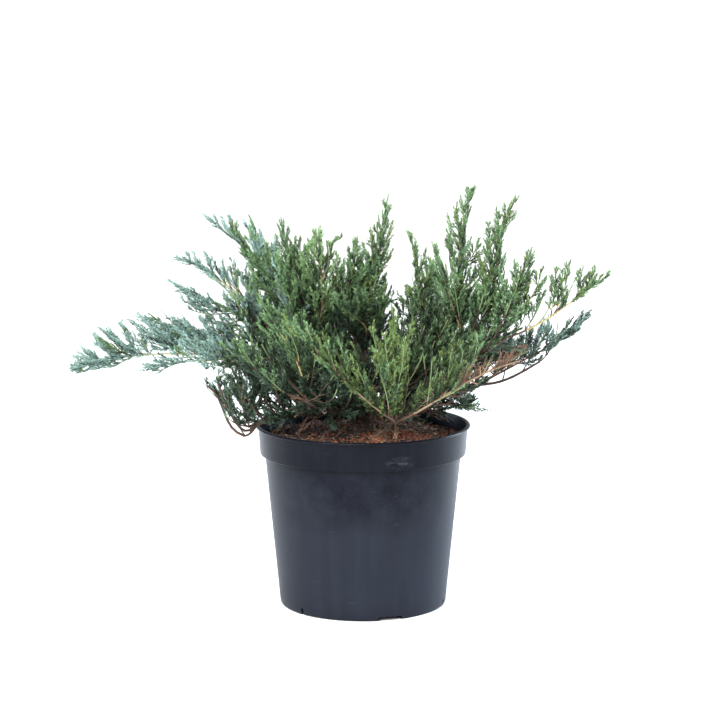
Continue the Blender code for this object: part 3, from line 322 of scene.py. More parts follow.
# The laterals of a mass or bough that shape the crown's outline, in place of side stems at random: where each
# leaves the bearer, in per cent; azimuth, and reach and height in millimetres, of its tip; pitch at its foot
# and tip; longest spray in millimetres; bare part in per cent, where it isn't the usual one. A name with a
# number is a lateral that has laterals of its own
LATERALS = {
    "foliage_left_low_tip": (
        (56, 186, 290, 366, 20, 55, 10), (61, 182, 315, 374, 30, 65, 11), (65, 183, 338, 314, -15, 10, 10),
        (67, 185, 331, 363, 20, 50, 12), (72, 183, 356, 312, -15, 10, 10), (74, 183, 344, 350, 25, 50, 14),
        (82, 183, 361, 335, 25, 45, 12), (84, 183, 371, 308, -12, 5, 9), (88, 183, 377, 316, 10, 10, 9),
    ),
    "foliage_left_mid_low": (
        (35, 189, 243, 346, 0, 10, 22), (45, 180, 277, 345, -5, 25, 22), (45, 184, 260, 355, -5, 20, 20),
        (53, 185, 235, 386, 25, 60, 10), (58, 180, 278, 368, 0, 25, 20), (59, 180, 269, 358, 0, 25, 20),
        (61, 180, 263, 389, 20, 55, 10), (55, 180, 274, 335, -10, 10, 18), (64, 180, 281, 351, -10, 15, 16),
    ),
    "foliage_left_mid_tip": (
        (40, 172, 228, 383, -5, 20, 22, 15), (43, 178, 237, 400, 0, 30, 24, 15),
        (29, 180, 208, 372, -10, 20, 20, 10), (21, 186, 192, 363, -5, 25, 20, 10),
        (35, 173, 164, 402, 60, 80, 12), (45, 174, 181, 406, 60, 80, 12), (61, 174, 204, 407, 50, 75, 10),
        (62, 175, 225, 392, -10, 12, 15), (72, 175, 241, 408, -10, 12, 13),
    ),
    "foliage_left_high_tip": (
        (30, 165, 160, 437, 60, 80, 16), (37, 164, 180, 448, 55, 75, 14), (48, 162, 195, 443, 50, 70, 12),
        (66, 161, 215, 448, 50, 65, 12),
    ),
    "foliage_left_top": (
        (29, 164, 143, 479, 60, 75, 20), (40, 172, 151, 492, 50, 70, 20), (47, 160, 175, 463, 15, 50, 14),
        (65, 167, 179, 502, 40, 60, 16), (29, 163, 168, 457, 40, 50, 18), (14, 165, 156, 437, 30, 45, 18),
    ),
    "foliage_right_tall": (
        (42, 15, 115, 486, 70, 80, 12), (46, 0, 147, 476, 55, 85, 20), (58, 0, 120, 523, 76, 84, 11),
        (31, 356, 154, 451, 50, 80, 24), (20, 349, 164, 424, 50, 80, 20),
    ),
    "foliage_right_lean": (
        (26, 43, 88, 427, 65, 80, 14), (35, 30, 101, 450, 75, 82, 16), (40, 31, 78, 452, 70, 78, 14),
    ),
    "foliage_right_second": (
        (40, 346, 162, 483, 75, 84, 13), (46, 356, 162, 502, 78, 84, 12), (59, 353, 174, 518, 80, 86, 12),
    ),
    "foliage_right_short": (
        (4, 344, 177, 423, 75, 85, 16), (7, 344, 214, 441, 60, 80, 18), (14, 351, 186, 427, 75, 85, 16),
        (17, 348, 232, 446, 40, 85, 26, 10), (44, 340, 206, 456, 72, 84, 14),
    ),
    "foliage_right_far": (
        (40, 355, 249, 445, 65, 86, 14, 10), (43, 354, 266, 451, 55, 80, 18, 15),
        (46, 356, 258, 439, 65, 84, 14, 10), (66, 356, 282, 442, 65, 80, 13),
        (75, 352, 298, 446, 60, 75, 12), (7, 352, 216, 402, 55, 75, 22), (15, 353, 233, 412, 50, 75, 22),
        (24, 353, 243, 399, 30, 60, 16),
    ),
    "foliage_right_low": (
        (14, 17, 207, 348, 50, 80, 20, 15), (21, 8, 211, 346, 50, 80, 20, 20),
        (28, 13, 226, 358, 50, 75, 20, 10), (42, 9, 244, 363, 50, 80, 18), (57, 12, 250, 376, 50, 88, 12),
        (68, 8, 286, 356, 10, 30, 14), (72, 11, 274, 367, 45, 80, 18), (64, 11, 262, 364, 45, 80, 18),
    ),
    "foliage_front_left": (
        (27, 270, 170, 334, 60, 78, 18), (46, 263, 181, 361, 55, 75, 16), (49, 248, 173, 358, 30, 40, 13),
        (58, 257, 195, 377, 55, 70, 16), (73, 251, 212, 396, 50, 60, 13),
    ),
    "foliage_front_mid": (
        (7, 276, 176, 360, 55, 85, 20, 10), (10, 278, 192, 390, 62, 88, 18, 10),
        (14, 274, 160, 392, 62, 82, 20, 8), (8, 284, 206, 381, 75, 88, 18, 10),
        (18, 288, 189, 398, 72, 80, 18, 8),
    ),
    "foliage_front_right": (
        (25, 298, 181, 345, 65, 80, 20), (38, 306, 186, 357, 60, 80, 20), (48, 312, 187, 362, 60, 80, 20),
        (59, 318, 192, 368, 60, 78, 20),
    ),
    "bough_left_hang": (
        (94, 198, 162, 231, -55, 12, 10, 100), (97, 196, 193, 302, -60, 78, 10, 91),
        (98, 202, 188, 292, -55, 78, 18, 45),
    ),
    "bough_left_hang 0": (
        (100, 194, 207, 297, 18, 32, 10, 91), (90, 196, 184, 288, 55, 80, 14, 50),
    ),
    "bough_right_low": (
        (96, 5, 234, 317, 3, 32, 10, 95), (65, 12, 139, 257, -25, 10, 22), (52, 10, 116, 253, -30, 0, 22),
    ),
    "bough_right_low 0": (
        (35, 9, 191, 327, 60, 75, 16, 30), (69, 5, 223, 337, 55, 75, 18, 20),
        (100, 5, 254, 347, 40, 60, 16, 10),
    ),
    "bough_back_right_low": (
        (64, 27, 133, 247, 0, 20, 26), (74, 26, 115, 244, -20, 10, 26), (85, 27, 154, 254, 0, 20, 26),
    ),
    "foliage_left_low_under": (
        (8, 190, 184, 316, -35, -8, 18), (16, 189, 195, 319, -25, 0, 16), (40, 202, 216, 323, -20, 20, 14),
        (71, 195, 279, 319, -10, 10, 14),
    ),
    "foliage_hang_outer": (
        (56, 196, 181, 310, 65, 85, 18), (70, 198, 194, 317, 65, 85, 16),
    ),
    "foliage_middle_tip": (
        (10, 52, 64, 401, 45, 75, 22), (19, 58, 59, 415, 55, 80, 20), (14, 105, 31, 475, 70, 86, 18),
        (36, 63, 23, 484, 80, 88, 16), (47, 59, 35, 500, 82, 86, 13),
    ),
    "foliage_top_left_inner": (
        (21, 157, 76, 478, 70, 85, 20), (40, 166, 84, 476, 75, 88, 26), (48, 180, 93, 477, 80, 86, 16),
    ),
    "foliage_top_middle": (
        (32, 201, 83, 463, 60, 80, 26), (52, 180, 39, 475, 65, 80, 18), (61, 189, 63, 489, 80, 88, 16),
        (70, 200, 29, 482, 55, 15, 12, 10),
    ),
}

LATERAL_BARE = 5
# Radii of laterals, of side stems on masses and of those on boughs
LATERAL_RADII = (STEM_ROOT_RADIUS * 0.7, STEM_END_RADIUS * 0.8)
SIDE_RADII = (STEM_ROOT_RADIUS * 0.6, STEM_END_RADIUS * 0.8)
INNER_RADII = (STEM_ROOT_RADIUS * 0.8, STEM_END_RADIUS)
# A lateral that is bare over more than this share is a dark twig, with these radii
DARK_TWIG_BARE = 0.9
DARK_TWIG_RADII = (0.0021, 0.0015)

# Length of the sprays on the stem of a mass beside the solids' rule, where laterals do more of the work
SPRAY_SHARES = {
    "foliage_left_mid_low": 0.80, "foliage_left_mid_tip": 0.75, "foliage_left_high_tip": 0.80,
    "foliage_middle_tip": 0.80, "foliage_right_tall": 0.75, "foliage_right_second": 0.70,
    "foliage_right_lean": 0.80, "foliage_front_mid": 0.62, "foliage_right_far": 0.60,
    "foliage_front_low_out": 0.55, "foliage_hang_outer": 0.75,
}

# Number, longest length and tints of a bough's dead twigs, where they aren't the usual ones
DEAD_TWIGS = {
    "bough_right_low": (24, 0.050, ("red", "brown", "brown", "grey")),
    "foliage_front_right": (26, 0.034, ("red", "brown", "brown", "tan")),
    "bough_front_low": (14, 0.030, ("red", "brown", "grey")),
    "bough_left_hang": (2, 0.030, ("grey", "brown")),
}

USUAL_DEAD_TWIGS = (0.05, ("grey", "brown", "tan", "grey"))

# Masses whose sprays are dry and short from this share of the stem on
DRY_ENDS = {"foliage_front_right": 0.52}

# Shades of a leaf tint, lit and shaded copies of one colour, and how much of the tint each keeps: the deep
# inner two are painted shade, the third is the tint, the last is painted light on tips that are also paler
# young growth. The rest is the plant's common deep green
LEAF_SHADES = (0.18, 0.54, 0.98, 1.32)
LEAF_PURITY = (0.45, 0.75, 1.0, 1.0)
DEEP, INNER, OUTER, YOUNG_AND_LIT = range(len(LEAF_SHADES))

# Number of old sprays on a bough and their darkest painted shade, where they aren't the usual ones
THATCH = {
    "bough_left_hang": (46, INNER),
    "bough_front_left": (36, DEEP),
    "bough_front_low": (34, DEEP),
    "bough_right_low": (40, DEEP),
    "bough_front": (24, DEEP),
    "bough_back_left_low": (30, INNER),
    "bough_left_low": (24, INNER),
    "bough_middle": (30, DEEP),
}

# Stretches of a stem without sprays, as shares of the stem
BARE_STRETCHES = {"foliage_left_low_tip": (0.40, 0.56)}

LEAF_TINTS = ("blue", "green", "pale", "yellow", "dark", "dead")
WOOD_TINTS = ("bark", "brown", "red", "tan", "yellow", "grey", "fresh")

# How far, in steps, what stands along a shoot strays from its even place
PLACE_JITTER = 0.25
# The power by which sprays and twigs get shorter towards a tip
TAPER_POWER = 1.6

# Turn of a spray from the upper side of its stem in degrees: on a level stem, how much more on an upright
# one, and give or take. Every fourth spray stands near the upper side
SPRAY_TURN = (62, 58, 42)
CREST_EVERY = 4
CREST_TURN = 35
# Angle of a spray from its stem in degrees: at the foot, how much less at the tip, and give or take
SPRAY_ANGLE = (50, 20, 8)
# How a spray rises, bends up by at least the first share of its length and at most by both, rolls about
# itself and varies in length. Some are leaders, longer than the others
SPRAY_RISE = 0.16
SPRAY_BEND = (0.10, 0.12)
SPRAY_ROLL = 50
SPRAY_LENGTHS = (0.85, 1.1)
LEADER_CHANCE = 0.25
LEADER_LENGTH = 1.3
# No spray is longer than this, beside its mass's longest, or stands beyond this share of its stem
SPRAY_MOST = 1.25
SPRAY_LAST = 0.97
# Steps of painted light by which a stem's sprays get lighter towards its tip, give or take
SHADE_RUN = 1.2
SHADE_JITTER = 0.8
# Length of the runs into which a leafy stem is cut to bear twigs
STEM_RUN = 0.025
# How far behind the bare part they begin, and their twigs' length at the tip and beside the rest of the stem
RUN_GAP = 0.08
END_TWIG = 0.007
END_TWIG_SHARE = 0.4

# The span of a bough that bears side stems, dead twigs and old sprays
INNER_SPAN = (0.16, 0.98)
DEAD_SPAN = (0.3, 0.98)
THATCH_SPAN = (0.06, 0.98)
# Share of the old sprays in their bough's darkest painted shade
THATCH_DARK = 0.7
# Bare share of the side stems of a bough, and the painted shade at the foot of these and of a bough's
# laterals
INNER_BARE = 0.05
INNER_SHADE = -0.3
LATERAL_SHADE = 0.8
# Distance between the sprays of a lateral of a bough beside the usual
LATERAL_SPACING = 0.8
# Where the side stems of a mass start, how far they turn from the upper side and how long they are. Beside
# laterals, the fill stays lower and shorter
SIDE_FIRST = 0.03
SIDE_SPAN = 0.58
LOW_SIDE_SPAN = 0.30
SIDE_TURNS = (25, 95)
SIDE_ANGLES = (16, 30)
SIDE_LENGTHS = (0.50, 0.80)
LOW_SIDE_SHARE = 0.65
SIDE_BARE = 0.10

# The span of a shoot that bears twigs; how their angle and length vary
TWIG_SPAN = (0.04, 0.98)
TWIG_JITTER = 5
TWIG_LENGTHS = (0.75, 1.2)
# How twigs and sprigs stand: their angles at the foot and tip of what bears them, how far they roll out of
# its flat, how much they bend forward, and the share of their bearer from which they get painted light
TWIG_STANCE = ((36, 22), 45, 0.24, 0.75)
SPRIG_STANCE = ((36, 26), 40, 0.10, 0.5)
DEAD_STANCE = ((50, 40), 60, 0.1, 2.0)
SPRIG_LENGTHS = (0.0020, 0.006)
# Changes of a twig's shade, and how often each comes
SHADE_CHANGES = (-1, 0, 1)
CHANGE_CHANCES = (0.25, 0.5, 0.25)
# The spans of sprays, twigs and sprigs that bear leaves
SPRAY_LEAFY = (0.12, 0.99)
TWIG_LEAFY = (0.10, 1.0)
SPRIG_LEAFY = (-0.05, 0.8)
# Where a spray's core has its rings, and how thick it is there beside a twig's
SPRAY_RINGS = (0, 0.3, 0.65, 1)
SPRAY_CORE = np.array((1.5, 1.3, 1.1))
TWIG_CORE = np.array((1.1,))
# The same for dead twigs and their forks
DEAD_RINGS = (0, 0.4, 0.8, 1)
DEAD_RADII = (0.0010, 0.0008, 0.0006)
DEAD_FORK_RADII = (0.0006, 0.0005, 0.0003)
# Leaves of dry sprays beside the others: length, width and spread
DRY_LEAF = (0.7, 0.6, 1.8)
DRY_LENGTH = 0.7
# How far leaves reach past a twig, how near a spray may come to the sides of the box, and the shortest one
LEAF_OVERHANG = 0.002
BOX_MARGIN = 0.004
SPRAY_LEAST = 0.003
# How far foliage stays from pot and soil, and where on a shoot that is checked
POT_MARGIN = 0.002
CHECKED_AT = (0.35, 0.7, 1.0)
# Woody stems are brown up to the first share, and green from another on by their kind
BROWN_TO = 0.12
GREEN_FROM = 0.62
SIDE_GREEN_FROM = 0.25
INNER_GREEN_FROM = 0.7
LATERAL_GREEN_FROM = 0.8
# A share that no stem has
NEVER = 2
# How leaves vary in turn and size, get shorter and close up towards a tip, and where the tip's leaves get
# painted light on what is partly paler young growth
LEAF_JITTER = 20
LEAF_SIZES = (0.8, 1.2)
LEAF_TAPER = 0.30
LEAF_CLOSING = 0.4
LIT_TIPS_FROM = 0.55
# How far a leaf's keel runs back
KEEL_RUN = 0.0002
# A leaf is folded along its keel: its base's two corners, its keel's foot and its tip
LEAF_FACES = np.array(((1, 2, 3), (0, 3, 2)))
# The sides of a box whose corners are numbered by x, then y, then z
BOX_QUADS = ((0, 1, 3, 2), (4, 6, 7, 5), (0, 4, 5, 1), (2, 3, 7, 6), (0, 2, 6, 4), (1, 5, 7, 3))


# Arithmetic on arrays of vectors


def dot(first, second):
    """Dot products along the last axis, kept as a column."""
    return (first * second).sum(-1, keepdims=True)


def unit(vectors):
    """Vectors of length one in the same directions."""
    return vectors / np.linalg.norm(vectors, axis=-1, keepdims=True)


def square_to(axis, wanted):
    """The unit vectors nearest to the wanted ones that stand square to the axes."""
    return unit(wanted - axis * dot(axis, wanted))


def turned(vectors, axis, angle):
    """Vectors that are square to their axes, turned round them by angles in radians."""
    angle = np.asarray(angle)[..., None]
    return vectors * np.cos(angle) + np.cross(axis, vectors) * np.sin(angle)


def polar(azimuth, reach, height):
    """The point at an azimuth, a distance from the axis and a height."""
    turn = math.radians(azimuth)
    return np.array((reach * math.cos(turn), reach * math.sin(turn), height))


def heading(azimuth, pitch):
    """The unit direction with this azimuth and this angle above level."""
    slope = math.radians(pitch)
    return polar(azimuth, math.cos(slope), math.sin(slope))


def smooth_step(value):
    """Ease from 0 to 1."""
    clamped = np.clip(value, 0.0, 1.0)
    return clamped * clamped * (3 - 2 * clamped)


# Limbs


class Limb:
    """A tapering limb along a cubic curve that leaves and arrives in given directions."""

    def __init__(self, start, leave, end, arrive, radii, pull):
        reach = np.linalg.norm(end - start) * pull
        self.controls = (start, start + leave * reach, end - arrive * reach, end)
        self.radii = radii

    def point(self, share):
        """The point at a share of the curve, or the points at several."""
        a, b, c, d = self.controls
        share = np.asarray(share, float)[..., None]
        rest = 1 - share
        return a * rest**3 + b * (3 * rest**2 * share) + c * (3 * rest * share**2) + d * share**3

    def tangent(self, share):
        """The unit direction of the curve there."""
        a, b, c, d = self.controls
        share = np.asarray(share, float)[..., None]
        rest = 1 - share
        return unit((b - a) * rest**2 + (c - b) * (2 * rest * share) + (d - c) * share**2)

    def radius(self, share):
        """The limb's radius there."""
        root, end = self.radii
        return root + (end - root) * np.asarray(share, float)

    def length(self):
        """The curve's length, near enough."""
        points = self.point(np.linspace(0, 1, 17))
        return np.linalg.norm(np.diff(points, axis=0), axis=1).sum()


def trunk_axis(height):
    """The trunk's centre at a height above its flat cut, leaning and slightly bowed."""
    lean = TRUNK_LEAN * height * (TRUNK_LEAN_AT_FOOT + height / TRUNK_HEIGHT)
    return polar(TRUNK_LEAN_AZIMUTH, lean, SOIL_CROWN_HEIGHT + SEAT_GAP + height)


def arrival(start, end, pitch):
    """The direction in which a limb arrives: level towards its end, tilted by a pitch."""
    level = unit((end - start) * (1, 1, 0))
    return level * math.cos(math.radians(pitch)) + UP * math.sin(math.radians(pitch))


def bough_limb(row):
    """The curve of a bough from its foot inside the trunk to its fork."""
    azimuth, reach, height, foot_azimuth, tier, rise, pitch, _ = row
    foot = trunk_axis(TIER_HEIGHTS[tier]) + polar(foot_azimuth, BOUGH_ROOT_REACH, 0)
    fork = polar(azimuth, reach, height)
    leave = heading(foot_azimuth, rise)
    radii = (BOUGH_ROOT_RADIUS, FORK_RADIUS)
    return Limb(foot, leave, fork, arrival(foot, fork, pitch), radii, BOUGH_PULL)


def fork_directions(bough, tips):
    """The direction in which each mass leaves its bough's fork, as in the solids."""
    fork = bough.point(1.0)
    chords = [unit(tip - fork) for tip in tips]
    middle = unit(bough.tangent(1.0) * FORK_AHEAD_SHARE + sum(chords))
    if len(tips) == 1:
        return [middle]
    if len(tips) == 2:
        apart = square_to(middle, chords[0] - chords[1])
        spread = math.radians(FORK_SPREAD_TWO)
        return [middle * math.cos(spread) + apart * side * math.sin(spread) for side in (1, -1)]
    return three_way_directions(middle, chords)


def three_way_directions(middle, chords):
    """Three directions a third of a turn apart round the middle one, each nearest to its own chord."""
    first = square_to(middle, chords[0])
    second = np.cross(middle, first)
    angles = [math.atan2(chord @ second, chord @ first) % (2 * math.pi) for chord in chords]
    order = sorted(range(3), key=lambda index: angles[index])
    third = 2 * math.pi / 3
    start = sum(angles[index] - third * place for place, index in enumerate(order)) / 3
    spread = math.radians(FORK_SPREAD_THREE)
    directions = [None, None, None]
    for place, index in enumerate(order):
        turn = start + third * place
        out = first * math.cos(turn) + second * math.sin(turn)
        directions[index] = middle * math.cos(spread) + out * math.sin(spread)
    return directions


def all_limbs():
    """Every bough and every mass's stem, by name."""
    boughs = {name: bough_limb(row) for name, row in BOUGHS.items()}
    stems = {}
    for bough_name, bough in boughs.items():
        names = [name for name, row in MASSES.items() if row[0] == bough_name]
        tips = [polar(*MASSES[name][1:4]) for name in names]
        for name, tip, leave in zip(names, tips, fork_directions(bough, tips)):
            # The dressed stem starts inside the fork, so that no gap shows
            start = bough.point(1.0) + leave * (FORK_RADIUS + SEAT_GAP)
            arrive = arrival(start, tip, MASSES[name][4])
            radii = (STEM_ROOT_RADIUS, STEM_END_RADIUS)
            stems[name] = Limb(start, leave, tip, arrive, radii, STEM_PULL)
    return boughs, stems


def soil_height(x, y):
    """Height of the soil's surface, mounded towards the trunk."""
    edge = COLLAR_FOOT_RADIUS
    reach = np.hypot(x, y)
    share = smooth_step((reach - SOIL_SEAT_RADIUS) / (edge - SOIL_SEAT_RADIUS))
    return SOIL_CROWN_HEIGHT + (RIM_HEIGHT - SOIL_EDGE_DEPTH - SOIL_CROWN_HEIGHT) * share


# Shoots


class Shoots:
    """Many shoots as arrays. Each leaves its root in one way, bends to a side and has a flat of its own."""

    FIELDS = ("root", "way", "bend", "across", "length", "tint")

    def __init__(self, *values):
        for field, value in zip(self.FIELDS, values):
            setattr(self, field, np.asarray(value, int if field == "tint" else float))

    def picked(self, index):
        """The shoots at these places, or where a mask is true."""
        return Shoots(*(getattr(self, field)[index] for field in self.FIELDS))

    def column(self, share):
        """One share for all the shoots, or one for each, as a column."""
        return np.broadcast_to(np.asarray(share, float), self.length.shape)[:, None]

    def at(self, share):
        """A point of each shoot, by its share of the length."""
        share = self.column(share)
        return self.root + self.way * self.length[:, None] * share + self.bend * share**2

    def along(self, share):
        """The direction of each shoot there."""
        return unit(self.way * self.length[:, None] + self.bend * 2 * self.column(share))

    def shorten(self, share):
        """Cut the shoots down to a share of their length."""
        self.length = self.length * share
        self.bend = self.bend * self.column(share)


def places_along(shoots, spacing, span, draws):
    """Owners, places and shares of what stands along a span of the shoots at a spacing."""
    first, last = span
    counts = np.maximum(1, np.round(shoots.length * (last - first) / spacing)).astype(int)
    owner = np.repeat(np.arange(len(counts)), counts)
    place = np.arange(len(owner)) - np.repeat(np.cumsum(counts) - counts, counts)
    chance = draws.uniform(-PLACE_JITTER, PLACE_JITTER, len(owner))
    share = first + (last - first) * (place + 0.5 + chance) / counts[owner]
    return owner, place, share


def lance(share):
    """Length of what stands along a shoot: nearly full at once, longest a quarter up and short at the tip."""
    return (0.62 + 0.38 * smooth_step(share / 0.28)) * (1 - 0.72 * share**TAPER_POWER)


def even(share):
    """The same length all along a shoot."""
    return np.ones_like(share)


def side_shoots(parents, spacing, reach, profile, stance, draws):
    """Shoots to the two sides of each parent in turn, in its flat but for a roll, bent forward."""
    angles, roll, forward, tips = stance
    owner, place, share = places_along(parents, spacing, TWIG_SPAN, draws)
    parent = parents.picked(owner)
    along = parent.along(share)
    side = np.where((place + owner) % 2, 1.0, -1.0)[:, None]
    rolled = np.radians(draws.uniform(-roll, roll, len(owner)))
    out = turned(square_to(along, parent.across) * side, along, rolled)
    angle = angles[0] + (angles[1] - angles[0]) * share + draws.uniform(-TWIG_JITTER, TWIG_JITTER, len(owner))
    angle = np.radians(angle)[:, None]
    way = along * np.cos(angle) + out * np.sin(angle)
    length = reach[owner] * profile(share) * draws.uniform(*TWIG_LENGTHS, len(owner))
    bend = square_to(way, along) * forward * length[:, None]
    # Shoots past a share of their bearer get a step of painted light
    return Shoots(parent.at(share), way, bend, square_to(way, out), length, parent.tint + (share > tips))


# Meshes


class Heap:
    """Triangles of one kind of thing, gathered in batches and cut into pieces of a bounded size."""

    def __init__(self, name, slot, materials):
        self.name = name
        self.slot = slot
        self.materials = materials
        self.groups = [[]]
        self.nodes = [[]]
        self.count = 0

    def add(self, points, faces, kinds, node=None):
        """Add points (n, 3), triangles (m, 3) and a material index or one for each triangle."""
        if self.count + len(faces) > MOST_TRIANGLES:
            self.groups.append([])
            self.nodes.append([])
            self.count = 0
        kinds = np.broadcast_to(np.asarray(kinds), (len(faces),))
        self.groups[-1].append((points, faces, kinds))
        self.count += len(faces)
        if node and node not in sum(self.nodes, []):
            self.nodes[-1].append(node)

    def build(self, smooth=False):
        """Make the pieces, which ride on the plant and stand for the nodes that were named."""
        for place, (batches, nodes) in enumerate(zip(self.groups, self.nodes)):
            if not batches:
                continue
            name = self.name if len(self.groups) == 1 else f"{self.name}_{place + 1}"
            firsts = np.cumsum([0] + [len(points) for points, _, _ in batches[:-1]])
            points = np.concatenate([points for points, _, _ in batches])
            faces = np.concatenate([faces + first for (_, faces, _), first in zip(batches, firsts)])
            kinds = np.concatenate([kinds for _, _, kinds in batches])
            piece = make_piece(name, points, faces, kinds, self.materials, smooth)
            if nodes:
                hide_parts(*nodes)


def make_piece(name, points, faces, kinds, materials, smooth):
    """A mesh object of triangles, each with its material's index."""
    mesh = bpy.data.meshes.new(name)
    mesh.vertices.add(len(points))
    mesh.vertices.foreach_set("co", np.asarray(points, np.float32).ravel())
    mesh.loops.add(faces.size)
    mesh.loops.foreach_set("vertex_index", np.asarray(faces, np.int32).ravel())
    mesh.polygons.add(len(faces))
    mesh.polygons.foreach_set("loop_start", np.arange(0, faces.size, 3, dtype=np.int32))
    mesh.polygons.foreach_set("material_index", np.asarray(kinds, np.int32))
    mesh.update(calc_edges=True)
    mesh.validate()
    for material in materials:
        mesh.materials.append(material)
    if smooth:
        mesh.shade_smooth()
    piece = bpy.data.objects.new(name, mesh)
    bpy.context.scene.collection.objects.link(piece)
    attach(piece, BODY)
    return piece


def repeated(points, faces):
    """Many copies of one small mesh, (n, p, 3) points with the same faces, as one mesh."""
    count, size = points.shape[:2]
    firsts = (np.arange(count) * size)[:, None, None]
    return points.reshape(-1, 3), (faces[None] + firsts).reshape(-1, faces.shape[1])


def ring_faces(rings, sides):
    """Triangles between rings of corners that are numbered ring by ring."""
    faces = []
    for first in range(0, (rings - 1) * sides, sides):
        for corner in range(sides):
            here = first + corner
            after = first + (corner + 1) % sides
            faces += [(here, after, after + sides), (here, after + sides, here + sides)]
    return faces


def add_tubes(heap, shoots, shares, radii, sides=3, node=None):
    """Pointed tubes along shoots, in their tints, with a ring at each share but the last.

    Their roots lie in what bears them.
    """
    count = len(shoots.length)
    if not count:
        return
    rings = len(radii)
    points = np.empty((count, rings * sides + 1, 3))
    for ring, (share, radius) in enumerate(zip(shares, radii)):
        along = shoots.along(share)
        side = square_to(along, shoots.across)
        up = np.cross(along, side)
        centre = shoots.at(share)
        for corner in range(sides):
            turn = math.tau * corner / sides
            out = side * math.cos(turn) + up * math.sin(turn)
            points[:, ring * sides + corner] = centre + out * radius
    points[:, -1] = shoots.at(shares[-1])
    last = (rings - 1) * sides
    tips = [(last + corner, last + (corner + 1) % sides, rings * sides) for corner in range(sides)]
    points, faces = repeated(points, np.array(ring_faces(rings, sides) + tips))
    heap.add(points, faces, np.repeat(shoots.tint, len(faces) // count), node)


def add_leaves(heap, shoots, step, span, core, size, draws, node):
    """Pairs of pointed leaves along the shoots, each pair square to the last, slanting forward."""
    length, width, spread = size
    owner, place, share = places_along(shoots, step, span, draws)
    parent = shoots.picked(owner)
    along = parent.along(share)
    across = square_to(along, parent.across)
    turn = np.radians(90 * place + draws.uniform(-LEAF_JITTER, LEAF_JITTER, len(owner)))
    points = []
    for half in (0, math.pi):
        out = turned(across, along, turn + half)
        wide = np.cross(along, out) * width / 2
        chance = draws.uniform(*LEAF_SIZES, (2, len(owner)))
        reach = length * (1 - LEAF_TAPER * share[:, None]) * chance[0][:, None]
        slope = np.radians(spread * (1 - LEAF_CLOSING * share) * chance[1])[:, None]
        base = parent.at(share) + out * core * 0.3
        tip = base + along * reach * np.cos(slope) + out * (core * 0.6 + reach * np.sin(slope))
        keel = base + out * core - along * KEEL_RUN
        points.append(np.stack((base + wide, base - wide, keel, tip), axis=1))
    points = np.concatenate(points)
    # Leaves past a share of the twig get a step of painted light
    tint = np.tile(np.minimum(parent.tint + (share > LIT_TIPS_FROM), YOUNG_AND_LIT), 2)
    inside = in_box(points.reshape(-1, 3)).reshape(-1, 4).all(1)
    heap.add(*repeated(points[inside], LEAF_FACES), np.repeat(tint[inside], len(LEAF_FACES)), node)


# Materials


class Wire:
    """A socket in a material's node tree. Arithmetic on it adds Math nodes."""

    def __init__(self, tree, socket=None):
        self.tree = tree
        self.socket = socket

    def node(self, kind, settings=None, sockets=None, output=0):
        """Add a node: its settings first, then values or links for its sockets. Gives one output."""
        made = self.tree.nodes.new(kind)
        for name, value in (settings or {}).items():
            if name == "stops":
                self.set_stops(made.color_ramp, value)
            else:
                setattr(made, name, value)
        for name, value in (sockets or {}).items():
            self.feed(made.inputs[name], value)
        return Wire(self.tree, made.outputs[output])

    def feed(self, socket, value):
        """Link a wire to a socket, or set the socket's value."""
        if isinstance(value, Wire):
            self.tree.links.new(value.socket, socket)
        else:
            socket.default_value = value

    @staticmethod
    def set_stops(ramp, stops):
        """Give a ramp these stops, each a position and a grey value."""
        while len(ramp.elements) < len(stops):
            ramp.elements.new(1.0)
        for element, (position, value) in zip(ramp.elements, stops):
            element.position = position
            element.color = (value, value, value, 1.0)

    def math(self, operation, first, second):
        """A Math node of two wires or numbers."""
        return self.node("ShaderNodeMath", {"operation": operation}, {0: first, 1: second})

    def __add__(self, other):
        return self.math("ADD", self, other)

    __radd__ = __add__

    def __mul__(self, other):
        return self.math("MULTIPLY", self, other)

    __rmul__ = __mul__

    def __sub__(self, other):
        return self.math("SUBTRACT", self, other)

    def __rsub__(self, other):
        return self.math("SUBTRACT", other, self)

    def ramp(self, *stops):
        """This value through a ramp of grey stops."""
        return self.node("ShaderNodeValToRGB", {"stops": stops}, {"Fac": self})

    def mix(self, first, second):
        """Two colours mixed by this value."""
        return self.node("ShaderNodeMix", {"data_type": "RGBA"}, {"Factor": self, 6: first, 7: second}, 2)

    def part(self, axis):
        """One coordinate of this place."""
        return self.node("ShaderNodeSeparateXYZ", {}, {0: self}, axis)

    def near(self, centre, size):
        """Distance of this place from a point, in shares of a size along each axis."""
        placed = self.node("ShaderNodeVectorMath", {"operation": "SUBTRACT"}, {0: self, 1: centre})
        placed = self.node("ShaderNodeVectorMath", {"operation": "DIVIDE"}, {0: placed, 1: size})
        return self.node("ShaderNodeVectorMath", {"operation": "LENGTH"}, {0: placed}, 1)

    def noise(self, scale, detail, roughness, stretch=None):
        """Noise at this place, finer with a larger scale, drawn out where a stretch is below one."""
        placed = self.node("ShaderNodeMapping", {}, {"Vector": self, "Scale": stretch}) if stretch else self
        sockets = {"Vector": placed, "Scale": scale, "Detail": detail, "Roughness": roughness}
        return self.node("ShaderNodeTexNoise", {}, sockets)


def new_material(name, colour=(0.5, 0.5, 0.5, 1.0), roughness=0.6, **values):
    """A Principled material of a plain colour, made on first use."""
    found = bpy.data.materials.get(name)
    if found:
        return found
    material = bpy.data.materials.new(name)
    material.use_nodes = True
    shader = material.node_tree.nodes["Principled BSDF"]
    shader.inputs["Base Color"].default_value = colour
    shader.inputs["Roughness"].default_value = roughness
    for socket, value in values.items():
        shader.inputs[socket.replace("_", " ")].default_value = value
    material.diffuse_color = colour
    return material


def open_material(name, roughness=0.6, **values):
    """A material with its shader's inputs and its object coordinates."""
    material = new_material(name, roughness=roughness, **values)
    tree = material.node_tree
    where = Wire(tree).node("ShaderNodeTexCoord", output=3)
    return material, tree.nodes["Principled BSDF"].inputs, where


